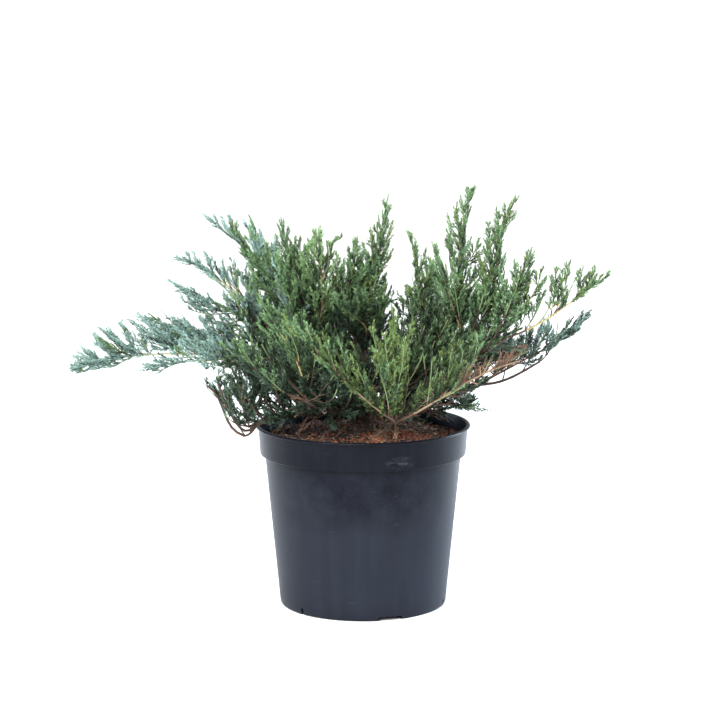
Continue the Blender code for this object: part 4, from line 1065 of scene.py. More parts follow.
def surface(shader, where, colour, relief, strength, depth):
    """Give a shader its colour and a relief of this strength and depth."""
    bump = where.node("ShaderNodeBump", {}, {"Height": relief, "Strength": strength, "Distance": depth})
    where.feed(shader["Base Color"], colour)
    where.feed(shader["Normal"], bump)


def shaded(colour, factor):
    """A colour made darker or lighter by a factor."""
    red, green, blue, _ = colour
    return (red * factor, green * factor, blue * factor, 1.0)


def pot_material(settings):
    """Recycled black plastic: dusty, mottled, streaked by dried water and scuffed at the collar."""
    material, shader, where = open_material("pot_dusty_plastic", Specular_IOR_Level=0.09)
    mottle = where.noise(16, 6, 0.65).ramp((0.38, 0.0), (0.72, 1.0))
    streaks = where.noise(60, 3, 0.5, (1, 1, 0.05)).ramp((0.45, 0.0), (0.75, 1.0))
    specks = where.noise(420, 2, 0.5).ramp((0.62, 0.0), (0.70, 1.0))
    high = where.part(2) * (1 / RIM_HEIGHT)
    # Lighter over the lower body and darkest at the collar, by height alone
    height_tone = high.ramp((0.0, 0.85), (0.12, 1.0), (0.46, 0.92), (0.66, 0.16), (0.83, 0.02), (1.0, 0.0))
    cloudy = high.ramp((0.45, 0.15), (0.66, 1.0), (0.80, 0.8), (0.84, 0.2))
    dust = height_tone * 0.50 + mottle * cloudy * 0.50 + streaks * 0.12 + specks * cloudy * 0.25
    scuffs = where.noise(150, 4, 0.7, (0.25, 0.25, 1)).ramp((0.64, 0.0), (0.70, 1.0))
    place = where.near(SCUFF_PLACE, SCUFF_SIZE).ramp((0.2, 1.0), (1.0, 0.0))
    smear = where.noise(190, 5, 0.75, (0.4, 0.4, 1)).ramp((0.44, 0.0), (0.66, 1.0))
    worn = smear * place * 0.42 + scuffs * 0.06
    colour = (dust * settings.dust_share).mix(tuple(settings.plastic), tuple(settings.dust))
    colour = (worn * 0.7).mix(colour, tuple(settings.scuff))
    relief = where.noise(900, 3, 0.5) * 0.5 + streaks * 0.3 + worn * 0.6
    surface(shader, where, colour, relief, 0.18, 0.0006)
    where.feed(shader["Roughness"], 0.30 + dust * 0.25 + worn * 0.2)
    return material


def bark_material(settings):
    """Flaking bark: grey-brown plates over red-brown, drawn out along the limb by its own relief."""
    material, shader, where = open_material("juniper_flaking_bark", 0.85)
    plates = where.noise(260, 5, 0.7).ramp((0.40, 0.0), (0.60, 1.0))
    fibres = where.noise(900, 4, 0.6, (1, 1, 0.35)).ramp((0.35, 0.0), (0.70, 1.0))
    colour = plates.mix(tuple(settings.bark_red), tuple(settings.bark_grey))
    colour = (fibres * 0.55).mix(colour, tuple(settings.bark_dark))
    surface(shader, where, colour, plates * 0.6 + fibres * 0.4, 0.6, 0.0008)
    return material


def soil_material(settings):
    """Moist peat and fine bark, painted shade in its hollows, painted shadow under the foliage at the left.
    """
    material, shader, where = open_material("moist_potting_soil", 0.95)
    crumbs = where.noise(340, 6, 0.75).ramp((0.36, 0.0), (0.66, 1.0))
    fibres = where.noise(700, 4, 0.6).ramp((0.56, 0.0), (0.66, 1.0))
    # Dark peat in the low parts of the relief: partly its own dark crumbs, partly painted shade in the
    # hollows
    colour = crumbs.mix(tuple(settings.peat_dark_and_shade), tuple(settings.peat))
    colour = (fibres * 0.6).mix(colour, tuple(settings.fibre))
    # Painted shadow of the foliage on the soil at the left, behind the front edge
    across = where.part(0)
    deep = behind_front_edge(across, where.part(1))
    painted_shadow = (across * 4 + 0.5).ramp((0.35, 0.85), (0.65, 0.0)) * (deep * 5).ramp((0.24, 0.0), (0.50, 1.0))
    colour = painted_shadow.mix(colour, tuple(settings.peat_dark_and_shade))
    surface(shader, where, colour, crumbs + fibres * 0.4, 0.9, 0.002)
    return material


def leaf_materials(settings, tint):
    """Four plain shades of one leaf tint: two of painted shade, the tint, and painted light on young tips."""
    made = []
    for shade, (factor, purity) in enumerate(zip(LEAF_SHADES, LEAF_PURITY)):
        colour = Vector(settings.common).lerp(Vector(getattr(settings, tint)), purity)
        name = f"leaf_{tint}_{shade}"
        made.append(new_material(name, shaded(colour, factor), 0.62, Specular_IOR_Level=0.35))
    return made


def wood_materials(settings):
    """The plain colours of twigs by their age: old bark, brown, red, tan, yellow and dead grey."""
    return [new_material("twig_" + tint, tuple(getattr(settings, tint)), 0.75) for tint in WOOD_TINTS]


# Pot


def arc(centre, radius, first, last, steps):
    """Points of a quarter round or less in a profile, between two angles in degrees."""
    turns = [math.radians(first + (last - first) * step / steps) for step in range(steps + 1)]
    return [(centre[0] + radius * math.cos(turn), centre[1] + radius * math.sin(turn)) for turn in turns]


def circle(radius, sides, shift=0.0):
    """Points round the axis, the first one moved on by a share of a step."""
    turns = [math.tau * (side + shift) / sides for side in range(sides)]
    return [(radius * math.cos(turn), radius * math.sin(turn)) for turn in turns]


def turned_faces(rings, sides):
    """Faces between rings of corners, closed by a point before the first ring and one after the last."""
    faces = []
    for side in range(sides):
        after = (side + 1) % sides
        faces.append((0, 1 + after, 1 + side))
        for low in range(1, 1 + (rings - 1) * sides, sides):
            high = low + sides
            faces.append((low + side, low + after, high + after, high + side))
        last = 1 + (rings - 1) * sides
        faces.append((last + side, last + after, last + sides))
    return faces


def plain_object(name, points, faces, material):
    """A mesh object from lists of points and faces, not yet on a body."""
    mesh = bpy.data.meshes.new(name)
    mesh.from_pydata(points, [], faces)
    mesh.materials.append(material)
    thing = bpy.data.objects.new(name, mesh)
    bpy.context.scene.collection.objects.link(thing)
    return thing


def pot_profile(edge):
    """Radius and height of the pot's outline, from its underside, over the lip, to its floor."""
    foot = RIM_HEIGHT - COLLAR_HEIGHT
    lip_foot = RIM_HEIGHT - LIP_HEIGHT
    inner_rim = COLLAR_RADIUS - POT_WALL
    inner_edge = edge * 0.8
    return [
        (0.0, 0.0),
        (BOSS_RADIUS, 0.0),
        (BOSS_RADIUS + UNDERSIDE_RUN, UNDERSIDE_RISE),
        (FOOT_INNER_RADIUS - UNDERSIDE_RUN, UNDERSIDE_RISE),
        (FOOT_INNER_RADIUS, 0.0),
        (FOOT_RADIUS - edge, 0.0),
        *arc((FOOT_RADIUS - edge, 2 * edge), 2 * edge, -90, 0, 4),
        (BODY_FOOT_RADIUS, 0.0045),
        (BODY_FOOT_RADIUS + 0.0006, 0.0105),
        (BODY_TOP_RADIUS - 0.0003, foot - 0.003),
        (BODY_TOP_RADIUS, foot - 0.0005),
        (COLLAR_FOOT_RADIUS - 0.0016, foot),
        *arc((COLLAR_FOOT_RADIUS - COLLAR_ROUND, foot + COLLAR_ROUND), COLLAR_ROUND, -90, 0, 4),
        (COLLAR_FOOT_RADIUS + 0.0004, foot + 0.0045),
        (COLLAR_RADIUS - 0.0002, lip_foot - 0.0012),
        (COLLAR_RADIUS, lip_foot),
        *arc((LIP_RADIUS - edge, lip_foot + edge), edge, -90, 0, 3),
        *arc((LIP_RADIUS - edge, RIM_HEIGHT - edge), edge, 0, 90, 4),
        *arc((inner_rim + inner_edge, RIM_HEIGHT - inner_edge), inner_edge, 90, 180, 3),
        (COLLAR_FOOT_RADIUS - POT_WALL, foot + POT_WALL),
        (BODY_TOP_RADIUS - POT_WALL, foot),
        (FOOT_RADIUS - POT_WALL + 0.0004, 0.0125),
        (FOOT_RADIUS - POT_WALL, UNDERSIDE_RISE + POT_WALL),
        (0.0, UNDERSIDE_RISE + POT_WALL),
    ]


def notch_boxes():
    """Points and quads of the boxes that cut the drainage notches through the foot."""
    points = []
    faces = []
    for turn in range(NOTCH_PAIRS):
        for azimuth, width, height in NOTCHES:
            faces += [tuple(len(points) + corner for corner in quad) for quad in BOX_QUADS]
            ahead = Vector(polar(azimuth + 360 * turn / NOTCH_PAIRS, 1, 0))
            aside = Vector((-ahead.y, ahead.x, 0))
            for near in (FOOT_INNER_RADIUS - 0.001, BODY_FOOT_RADIUS + 0.008):
                for side in (-width / 2, width / 2):
                    for level in (-0.001, height):
                        points.append(ahead * near + aside * side + Vector((0, 0, level)))
    return points, faces


def build_pot(settings):
    """The nursery pot with a rounded lip, a collar, a foot ring and cut drainage notches."""
    material = pot_material(settings)
    sides = settings.pot_sides
    profile = pot_profile(settings.lip_edge)
    points = [(0.0, 0.0, profile[0][1])]
    for radius, height in profile[1:-1]:
        points += [(x, y, height) for x, y in circle(radius, sides)]
    points.append((0.0, 0.0, profile[-1][1]))
    pot = plain_object("nursery_pot", points, turned_faces(len(profile) - 2, sides), material)
    cutter = plain_object("notch_cutter", *notch_boxes(), material)
    cut = pot.modifiers.new("drainage notches", "BOOLEAN")
    cut.operation = "DIFFERENCE"
    cut.object = cutter
    graph = bpy.context.evaluated_depsgraph_get()
    mesh = bpy.data.meshes.new_from_object(pot.evaluated_get(graph))
    pot.modifiers.clear()
    pot.data = mesh
    bpy.data.objects.remove(cutter, do_unlink=True)
    mesh.shade_smooth()
    mesh.set_sharp_from_angle(angle=math.radians(40))
    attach(pot, BODY)
    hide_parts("pot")


# Soil and litter


def build_soil(settings):
    """The soil as one closed block with a crumbly top."""
    foot = UNDERSIDE_RISE + POT_WALL + SEAT_GAP
    points = [(0.0, 0.0, foot)]
    for radius, height in ((FOOT_RADIUS, foot), (BODY_TOP_RADIUS, RIM_HEIGHT - COLLAR_HEIGHT - SEAT_GAP)):
        points += [(x, y, height) for x, y in circle(radius - POT_WALL - SEAT_GAP, SOIL_SIDES)]
    for ring in range(SOIL_RINGS):
        for x, y in circle(SOIL_RADIUS * (1 - ring / SOIL_RINGS), SOIL_SIDES, 0.5 * (ring % 2)):
            points.append((x, y, soil_height(x, y) + crumbs(x, y, settings.soil_relief)))
    points.append((0.0, 0.0, SOIL_CROWN_HEIGHT))
    faces = turned_faces(2 + SOIL_RINGS, SOIL_SIDES)
    soil = plain_object("potting_mix", points, faces, soil_material(settings))
    soil.data.shade_smooth()
    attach(soil, BODY)
    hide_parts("soil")


def crumbs(x, y, relief):
    """Unevenness of the soil: lumps, crumbs and a few hollows."""
    sizes = ((60, 0.3, 0.9), (210, 4.1, 0.55), (520, 9.7, 0.35))
    parts = (share * noise.noise(Vector((x * scale, y * scale, seed))) for scale, seed, share in sizes)
    return relief * sum(parts)


def scattered(count, reach, draws):
    """Points spread evenly over the soil from the trunk out to a reach, on its surface."""
    turn = draws.uniform(0, math.tau, count)
    radius = np.sqrt(draws.uniform((SOIL_SEAT_RADIUS / reach) ** 2, 1, count)) * reach
    x = radius * np.cos(turn)
    y = radius * np.sin(turn)
    return np.stack((x, y, soil_height(x, y)), axis=1)


def behind_front_edge(x, y):
    """How far a place on the soil lies behind its front edge, as numbers or as wires."""
    return y - x * x * FRONT_CURVE + FRONT_DISTANCE


def shaded_litter(places, draws):
    """Which bits of litter get painted shadow: most of those under the left foliage, behind the front edge.
    """
    deep = behind_front_edge(places[:, 0], places[:, 1])
    share = smooth_step((DARK_LEFT_OF - places[:, 0]) / DARK_LEFT_FADE)
    share = share * smooth_step((deep - DARK_BEHIND) / DARK_BEHIND_FADE)
    return draws.uniform(0, 1, len(places)) < share * DARK_MOST


def straws(settings, reach, draws):
    """Straw and needles as shoots that lie on the soil, a little askew."""
    places = scattered(settings.straws, reach - 0.006, draws)
    count = len(places)
    turn = draws.uniform(0, math.tau, count)
    rise = draws.uniform(-0.10, 0.16, count)
    way = unit(np.stack((np.cos(turn), np.sin(turn), rise), axis=1))
    length = draws.uniform(0.006, 0.020, count)
    side = square_to(way, np.broadcast_to(UP, way.shape))
    bend = side * (length * draws.uniform(-0.12, 0.12, count))[:, None]
    lifted = places + UP * 0.0008 - way * (length / 2)[:, None]
    shoots = Shoots(lifted, way, bend, side, length, draws.integers(1, 4, count))
    ends = [np.hypot(*shoots.at(share)[:, :2].T) for share in (0.0, 1.0)]
    shoots = shoots.picked(np.maximum(*ends) < SOIL_RADIUS - 0.002)
    # Straw in the foliage's shadow takes the dark chips' colour as painted shadow
    shoots.tint = np.where(shaded_litter(shoots.root, draws), 0, shoots.tint)
    return shoots


def build_litter(settings):
    """Bark chips, red-brown grit, straw and fallen scale leaves on the soil."""
    draws = np.random.default_rng(41)
    colours = [tuple(getattr(settings, tint)) for tint in ("dark_chip_and_shadow", "chip", "chip_red", "chip_pale")]
    materials = [new_material(f"litter_{place}", colour, 0.9) for place, colour in enumerate(colours)]
    reach = SOIL_RADIUS - 0.004
    chips, grit, straw = (
        Heap(name, "potting_soil", materials) for name in ("bark_chips", "red_grit", "straw_and_needles")
    )
    places = scattered(settings.chips, reach, draws)
    count = len(places)
    size = np.stack([draws.uniform(least, most, count) for least, most in CHIP_SIZES], axis=1)
    tints = draws.choice(4, count, p=CHIP_TINTS)
    # Chips in the foliage's shadow take the dark chips' colour as painted shadow
    tints = np.where(shaded_litter(places, draws), 0, tints)
    chips.add(*blocks(places, size, 25, draws), np.repeat(tints, 12))
    places = scattered(settings.grit, reach, draws)
    azimuth = np.degrees(np.arctan2(places[:, 1], places[:, 0])) % 360
    often = np.where((azimuth > GRIT_SPAN[0]) & (azimuth < GRIT_SPAN[1]), 1.0, GRIT_ELSEWHERE)
    places = places[draws.uniform(0, 1, len(places)) < often]
    count = len(places)
    size = draws.uniform(*GRIT_SIZES, (count, 1)) * draws.uniform(0.6, 1.0, (count, 3))
    grit.add(*blocks(places, size, 80, draws), 2)
    add_tubes(straw, straws(settings, reach, draws), (0, 0.5, 1), STRAW_RADII)
    for heap in (chips, grit, straw):
        heap.build()


def blocks(places, size, tilt, draws):
    """Irregular blocks lying on the soil at all turns, tilted by up to some degrees."""
    count = len(places)
    corners = np.array([(x, y, z) for x in (-0.5, 0.5) for y in (-0.5, 0.5) for z in (-0.5, 0.5)])
    local = corners[None] * size[:, None] * draws.uniform(0.6, 1.1, (count, 8, 3))
    turn = draws.uniform(0, math.tau, count)
    pitch, roll = np.radians(draws.uniform(-tilt, tilt, (count, 2))).T
    ahead = np.stack((np.cos(turn) * np.cos(pitch), np.sin(turn) * np.cos(pitch), np.sin(pitch)), 1)
    upper = square_to(ahead, np.stack((np.sin(roll), np.zeros(count), np.cos(roll)), 1))
    aside = np.cross(upper, ahead)
    points = places[:, None] + local[..., :1] * ahead[:, None] + local[..., 1:2] * aside[:, None]
    points = points + local[..., 2:] * upper[:, None] + UP * size[:, None, 2:] * 0.35
    faces = [(a, b, c) for a, b, c, _ in BOX_QUADS] + [(a, c, d) for a, _, c, d in BOX_QUADS]
    return repeated(points, np.array(faces))


# Bark


def turns_round(sides):
    """The turns of the corners of a ring."""
    return [math.tau * corner / sides for corner in range(sides)]


def lofted(centres, radii):
    """A closed tube through centres, with a row of radii for each, as points and triangles."""
    centres = np.asarray(centres, float)
    rings, sides = np.shape(radii)
    along = unit(np.gradient(centres, axis=0))
    side = square_to(along[0], ASIDE)
    points = []
    for ring, centre in enumerate(centres):
        side = square_to(along[ring], side)
        across = np.cross(along[ring], side)
        for turn, radius in zip(turns_round(sides), radii[ring]):
            points.append(centre + (side * math.cos(turn) + across * math.sin(turn)) * radius)
    faces = ring_faces(rings, sides)
    foot = len(points)
    last = foot - sides
    points += [centres[0], centres[-1]]
    for corner in range(sides):
        after = (corner + 1) % sides
        faces += [(foot, after, corner), (foot + 1, last + corner, last + after)]
    return np.array(points), np.array(faces)


def bark_relief(turn, run, seed, radius):
    """Share by which bark stands out at a turn round a limb and a run along it: fibrous plates."""
    around = Vector((math.cos(turn), math.sin(turn), 0)) * (1.2 + radius * 120)
    plates = noise.noise(around + Vector((seed, seed * 0.7, run * 45)))
    fibres = noise.noise(around * 3.2 + Vector((seed + 9, 3, run * 110)))
    return 0.16 * plates + 0.09 * fibres


def trunk_ring(height):
    """Radii of the trunk at a height, with its root flare and its bark's relief."""
    radius = np.interp(height, *zip(*TRUNK_RINGS))
    flare = ROOT_LOBE_SHARE * max(0.0, 1 - height / ROOT_FLARE_HEIGHT)
    radii = []
    for turn in turns_round(TRUNK_SIDES):
        lobe = 1 + flare * math.cos(ROOT_LOBES * turn)
        relief = TRUNK_RELIEF * bark_relief(turn, height, 2.0, radius)
        radii.append(radius * lobe * (1 + relief - TRUNK_INSET))
    return radii


def build_bark(settings):
    """The trunk with its root flare and all boughs, with the bark's relief."""
    heap = Heap("trunk_and_boughs", "juniper_bark", [bark_material(settings)])
    step = settings.bark_step
    heights = np.arange(0, TRUNK_HEIGHT, step / 2)
    rings = [trunk_ring(height) for height in heights]
    heap.add(*lofted([trunk_axis(height) for height in heights], rings), 0, "trunk")
    turns = turns_round(settings.bark_sides)
    rise, middle, spread = KNOT
    for place, (name, limb) in enumerate(all_limbs()[0].items()):
        shares = np.linspace(0, 1, int(limb.length() / step))
        runs = shares * limb.length()
        spots = [[(run * 26, place * 3.1, axis * 5.7) for axis in range(3)] for run in runs]
        kinks = np.array([[noise.noise(Vector(spot)) for spot in row] for row in spots])
        ease = np.minimum(1, np.minimum(shares, 1 - shares) * 5)[:, None]
        radii = []
        for share, run in zip(shares, runs):
            radius = limb.radius(share)
            knot = 1 + rise * math.exp(-(((share - middle) / spread) ** 2))
            relief = (bark_relief(turn, run, place * 5.0, radius) for turn in turns)
            radii.append([radius * knot * (1 + out) for out in relief])
        heap.add(*lofted(limb.point(shares) + kinks * ease * settings.bough_kink, radii), 0, name)
    heap.build(smooth=True)


# Foliage


def spray_length(width, share):
    """Length of a spray by its place along the leafy part of the stem, as in the solids but on to the tip."""
    grown = 0.55 + 0.45 * smooth_step(share / 0.3)
    return width * grown * (1 - 0.70 * share**TAPER_POWER)


def spray_turn(along, place, chance):
    """Turn of the next spray round its stem: left and right of the upper side, wider on a steep stem."""
    level, more, jitter = SPRAY_TURN
    side = 1 if place % 2 else -1
    return side * math.radians(level + more * along[2] ** 2 + chance.uniform(-jitter, jitter))


def upper_side(along):
    """The upper side of a stem, or the one ahead where it is upright."""
    return square_to(along, UP + np.array((along[1], -along[0], 0)) * 0.02)


def spray(bearer, at, turn, angle, length, roll, tint):
    """One spray's fields for Shoots: it leaves its stem at an angle and rises towards its tip."""
    least, more = SPRAY_BEND
    along = bearer.tangent(at)
    out = turned(upper_side(along), along, turn)
    way = unit(along * math.cos(angle) + out * math.sin(angle) + UP * SPRAY_RISE)
    across = turned(square_to(way, along), way, roll)
    bend = square_to(way, UP + along * 0.8) * ((least + more * math.sin(roll * 5) ** 2) * length)
    return bearer.point(at), way, bend, across, length, tint


def as_tint(light):
    """The nearest shade from the deep one to the outer one."""
    return int(np.clip(round(light), DEEP, OUTER))


def middle_shade(place):
    """How much painted shade a place in the plant's middle gets: 1 low beside the trunk, 0 outside."""
    inwards = smooth_step((HOLLOW_REACH - math.hypot(place[0], place[1])) / HOLLOW_FADE)
    return inwards * smooth_step((HOLLOW_TOP - place[2]) / HOLLOW_FADE)


def stem_sprays(name, stem, width, bare, spacing, shade, settings):
    """The sprays of a stem: the rule of the solids at a finer spacing, with some longer leaders."""
    chance = random.Random(name)
    leafy = SPRAY_LAST - bare
    whole = stem.length()
    count = max(4, round(whole * leafy / spacing))
    low, high = BARE_STRETCHES.get(name, (NEVER, NEVER))
    steep, less, jitter = SPRAY_ANGLE
    rows = []
    for place in range(count):
        share = (place + chance.uniform(0.25, 0.75)) / count
        at = bare + leafy * share
        turn = spray_turn(stem.tangent(at), place, chance)
        if place % CREST_EVERY == CREST_EVERY - 1:
            turn = math.radians(chance.uniform(-CREST_TURN, CREST_TURN))
        roll = math.radians(chance.uniform(-SPRAY_ROLL, SPRAY_ROLL))
        leader = LEADER_LENGTH if chance.random() < LEADER_CHANCE else 1.0
        length = spray_length(width, share) * chance.uniform(*SPRAY_LENGTHS) * leader * settings.spray_reach
        length = min(length, whole * (1 - at) * settings.spire + settings.spray_least, width * SPRAY_MOST)
        angle = math.radians(steep - less * share + chance.uniform(-jitter, jitter))
        # A step on the shade ladder: painted light towards the stem's tip, painted shade in the plant's
        # middle
        light = shade + share * SHADE_RUN + chance.uniform(-SHADE_JITTER, SHADE_JITTER)
        tint = as_tint(light - middle_shade(stem.point(at)) * settings.middle_shade)
        if not low < at < high:
            rows.append(spray(stem, at, turn, angle, length, roll, tint))
    return Shoots(*zip(*rows))


def stem_runs(name, stem, first):
    """The leafy end of a stem as short shoots end to end, which bear twigs of their own."""
    chance = random.Random(name + " runs")
    count = max(1, math.ceil(stem.length() * (1 - first) / STEM_RUN))
    marks = np.linspace(first, 1.0, count + 1)
    low, high = BARE_STRETCHES.get(name, (NEVER, NEVER))
    rows = []
    for begin, end in zip(marks, marks[1:]):
        if low < (begin + end) / 2 < high:
            continue
        root = stem.point(begin)
        way = stem.tangent(begin)
        chord = stem.point(end) - root
        length = np.linalg.norm(chord)
        across = square_to(way, np.array([chance.uniform(-1, 1) for _ in range(3)]))
        tint = as_tint(INNER + chance.uniform(-0.2, 0.9))
        rows.append((root, way, chord - way * length, across, length, tint))
    return Shoots(*zip(*rows))


def inner_stems(name, bough, place, settings):
    """Side stems that fill the crown between the masses: short low ones, then longer and steeper ones."""
    chance = random.Random(3000 + place)
    count = MORE_INNER_STEMS.get(name, settings.inner_stems)
    found = []
    for step in range(count):
        at = INNER_SPAN[0] + (INNER_SPAN[1] - INNER_SPAN[0]) * (step + chance.uniform(0.2, 0.8)) / count
        root = bough.point(at)
        along = bough.tangent(at)
        side = np.cross(along, UP) * (1 if step % 2 else -1)
        length = chance.uniform(0.75, 1.25) * settings.inner_reach * (0.55 + 0.45 * at)
        rise = chance.uniform(0.15, 1.0)
        leave = unit(along * 0.6 + side * chance.uniform(0.2, 0.9) + UP * rise * 0.6)
        aim = unit(along * 0.5 + side * chance.uniform(0.1, 0.9) + UP * rise)
        tip = root + aim * length
        arrive = unit(aim + UP * 0.5)
        found.append(Limb(root, leave, tip, arrive, INNER_RADII, STEM_PULL))
    return found


def laterals(name, bearer):
    """The laterals of a stem or bough, and theirs in turn, each with its longest spray and bare share."""
    found = []
    for number, row in enumerate(LATERALS.get(name, ())):
        at, azimuth, reach, height, foot_pitch, tip_pitch, width, bare = (*row, LATERAL_BARE)[:8]
        bare /= PER_CENT
        root = bearer.point(at / PER_CENT)
        tip = polar(azimuth, reach / MILLIMETRES, height / MILLIMETRES)
        leave, arrive = (arrival(root, tip, pitch) for pitch in (foot_pitch, tip_pitch))
        radii = LATERAL_RADII if bare < DARK_TWIG_BARE else DARK_TWIG_RADII
        limb = Limb(root, leave, tip, arrive, radii, STEM_PULL)
        found.append((limb, width / MILLIMETRES, bare))
        found.extend(laterals(f"{name} {number}", limb))
    return found


def side_stems(name, stem, settings):
    """Side stems of a mass, each with its longest spray and bare share: its laterals and some fill.

    The fill leaves the stem low down, left and right in turn, and rises beside it.
    """
    low = name in LATERALS
    chance = random.Random(name + " sides")
    count = SIDE_STEMS.get(name, settings.side_stems)
    limbs = []
    for step in range(count):
        span = LOW_SIDE_SPAN if low else SIDE_SPAN
        at = SIDE_FIRST + span * (step + chance.uniform(0.2, 0.8)) / count
        root = stem.point(at)
        along = stem.tangent(at)
        turn = math.radians(chance.uniform(*SIDE_TURNS)) * (1 if step % 2 else -1)
        out = turned(upper_side(along), along, turn)
        angle = math.radians(chance.uniform(*SIDE_ANGLES))
        ahead = unit(stem.point(at + (1 - at) * 0.7) - root)
        aim = unit(ahead * math.cos(angle) + out * math.sin(angle))
        leave = unit(along * 0.8 + out * 0.5)
        rest = stem.length() * (1 - at)
        tip = root + aim * (rest * chance.uniform(*SIDE_LENGTHS) * (LOW_SIDE_SHARE if low else 1.0))
        arrive = unit(aim + ahead * 0.5 + UP * 0.2)
        limbs.append(Limb(root, leave, tip, arrive, SIDE_RADII, STEM_PULL))
    width = MASSES[name][5] * settings.side_width
    fill = [(limb, width, SIDE_BARE) for limb in limbs if in_box(limb.point(1.0)[None] + STEM_MARGINS).all()]
    return laterals(name, stem) + fill


def thatch(name, bough, place, settings):
    """Old and dried sprays round the inner part of a bough, in all directions."""
    chance = random.Random(4000 + place)
    rows = []
    count, shade = THATCH.get(name, (settings.thatch, DEEP))
    for _ in range(count):
        at = chance.uniform(*THATCH_SPAN)
        turn = math.radians(chance.uniform(-180, 180))
        angle = math.radians(chance.uniform(35, 80))
        length = chance.uniform(0.6, 1.2) * settings.thatch_reach
        # Most old sprays take the darkest painted shade, the rest one step lighter
        tint = shade if chance.random() < THATCH_DARK else shade + 1
        rows.append(spray(bough, at, turn, angle, length, chance.uniform(-1.5, 1.5), tint))
    return Shoots(*zip(*rows))


def clear_of_pot(points):
    """Which points lie above the soil and outside the pot's walls, with a margin."""
    x, y, z = points.T
    reach = np.hypot(x, y)
    outside = (reach > LIP_RADIUS + POT_MARGIN) | (z > RIM_HEIGHT + POT_MARGIN)
    above = (reach < COLLAR_FOOT_RADIUS - POT_WALL - POT_MARGIN) & (z > soil_height(x, y) + POT_MARGIN)
    return outside | above


def in_box(points):
    """Which points lie inside the box of the solids."""
    return ((points > BOX_LOW) & (points < BOX_HIGH)).all(1)


def in_open_space(points):
    """Which points the camera sees in a space that stays open."""
    place = np.array(CAMERA_PLACE)
    share = place[1] / (place[1] - points[:, 1])
    seen = (place + (points - place) * share[:, None])[:, (0, 2)]
    return in_strips(seen, OPEN_SPACES) | in_strips(seen, FRONT_SPACES) & (points[:, 1] < FRONT_SPACES_TO)


def in_strips(seen, strips):
    """Which points of the upright plane lie in one of the rounded strips."""
    found = np.zeros(len(seen), bool)
    for strip in strips:
        x0, z0, x1, z1, half_width = (value / MILLIMETRES for value in strip)
        start = np.array((x0, z0))
        run = np.array((x1, z1)) - start
        nearest = np.clip((seen - start) @ run / (run @ run), 0.0, 1.0)
        found |= np.linalg.norm(seen - start - nearest[:, None] * run, axis=1) < half_width
    return found


def kept(shoots, overhang=LEAF_OVERHANG):
    """The shoots that stay clear of the pot and the open spaces and, with their leaves, in the box."""
    keep = np.ones(len(shoots.length), bool)
    for share in CHECKED_AT:
        keep &= clear_of_pot(shoots.at(share))
    ends = shoots.at(1.0) + shoots.along(1.0) * overhang
    return shoots.picked(keep & in_box(ends) & ~in_open_space(ends))


def fitted(shoots):
    """The shoots, shortened where they would leave the box or come too near to its sides."""
    fit = shoots.picked(slice(None))
    for _ in range(2):
        run = fit.at(1.0) - fit.root
        room = np.where(run > 0, BOX_HIGH - BOX_MARGIN - fit.root, fit.root - BOX_LOW - BOX_MARGIN)
        fit.shorten(np.clip(room / np.maximum(np.abs(run), 1e-6), 0.0, 1.0).min(1))
    return fit.picked(fit.length > SPRAY_LEAST)


def dealt(name, tint, sprays, settings, draws):
    """The sprays of a mass or bough by leaf tint: its own, and a second one by their place."""
    reach = np.hypot(sprays.root[:, 0], sprays.root[:, 1])
    if tint == "blue":
        second = "green"
        share = GREEN_LEAST + GREEN_MORE * smooth_step((GREEN_OUT_TO - reach) / GREEN_FADE)
    elif name in MIXED_TINTS:
        second = MIXED_TINTS[name]
        share = settings.mixed_share * smooth_step((reach - MIXED_FROM) / MIXED_FADE)
    else:
        second = OTHER_TINTS[tint]
        share = settings.other_share
    other = draws.uniform(0, 1, len(reach)) < share
    return (tint, sprays.picked(~other)), (second, sprays.picked(other))


class Fineness:
    """How fine the twigs and leaves of a kind of spray are, beside the outer ones."""

    def __init__(self, settings, sparse=1.0, leaf=(1.0, 1.0, 1.0)):
        self.twig_spacing = settings.twig_spacing * sparse
        self.sprig_spacing = settings.sprig_spacing * sparse
        self.leaf_step = settings.leaf_step * sparse
        sizes = (settings.leaf_length, settings.leaf_width, settings.leaf_spread)
        self.leaf = [size * share for size, share in zip(sizes, leaf)]


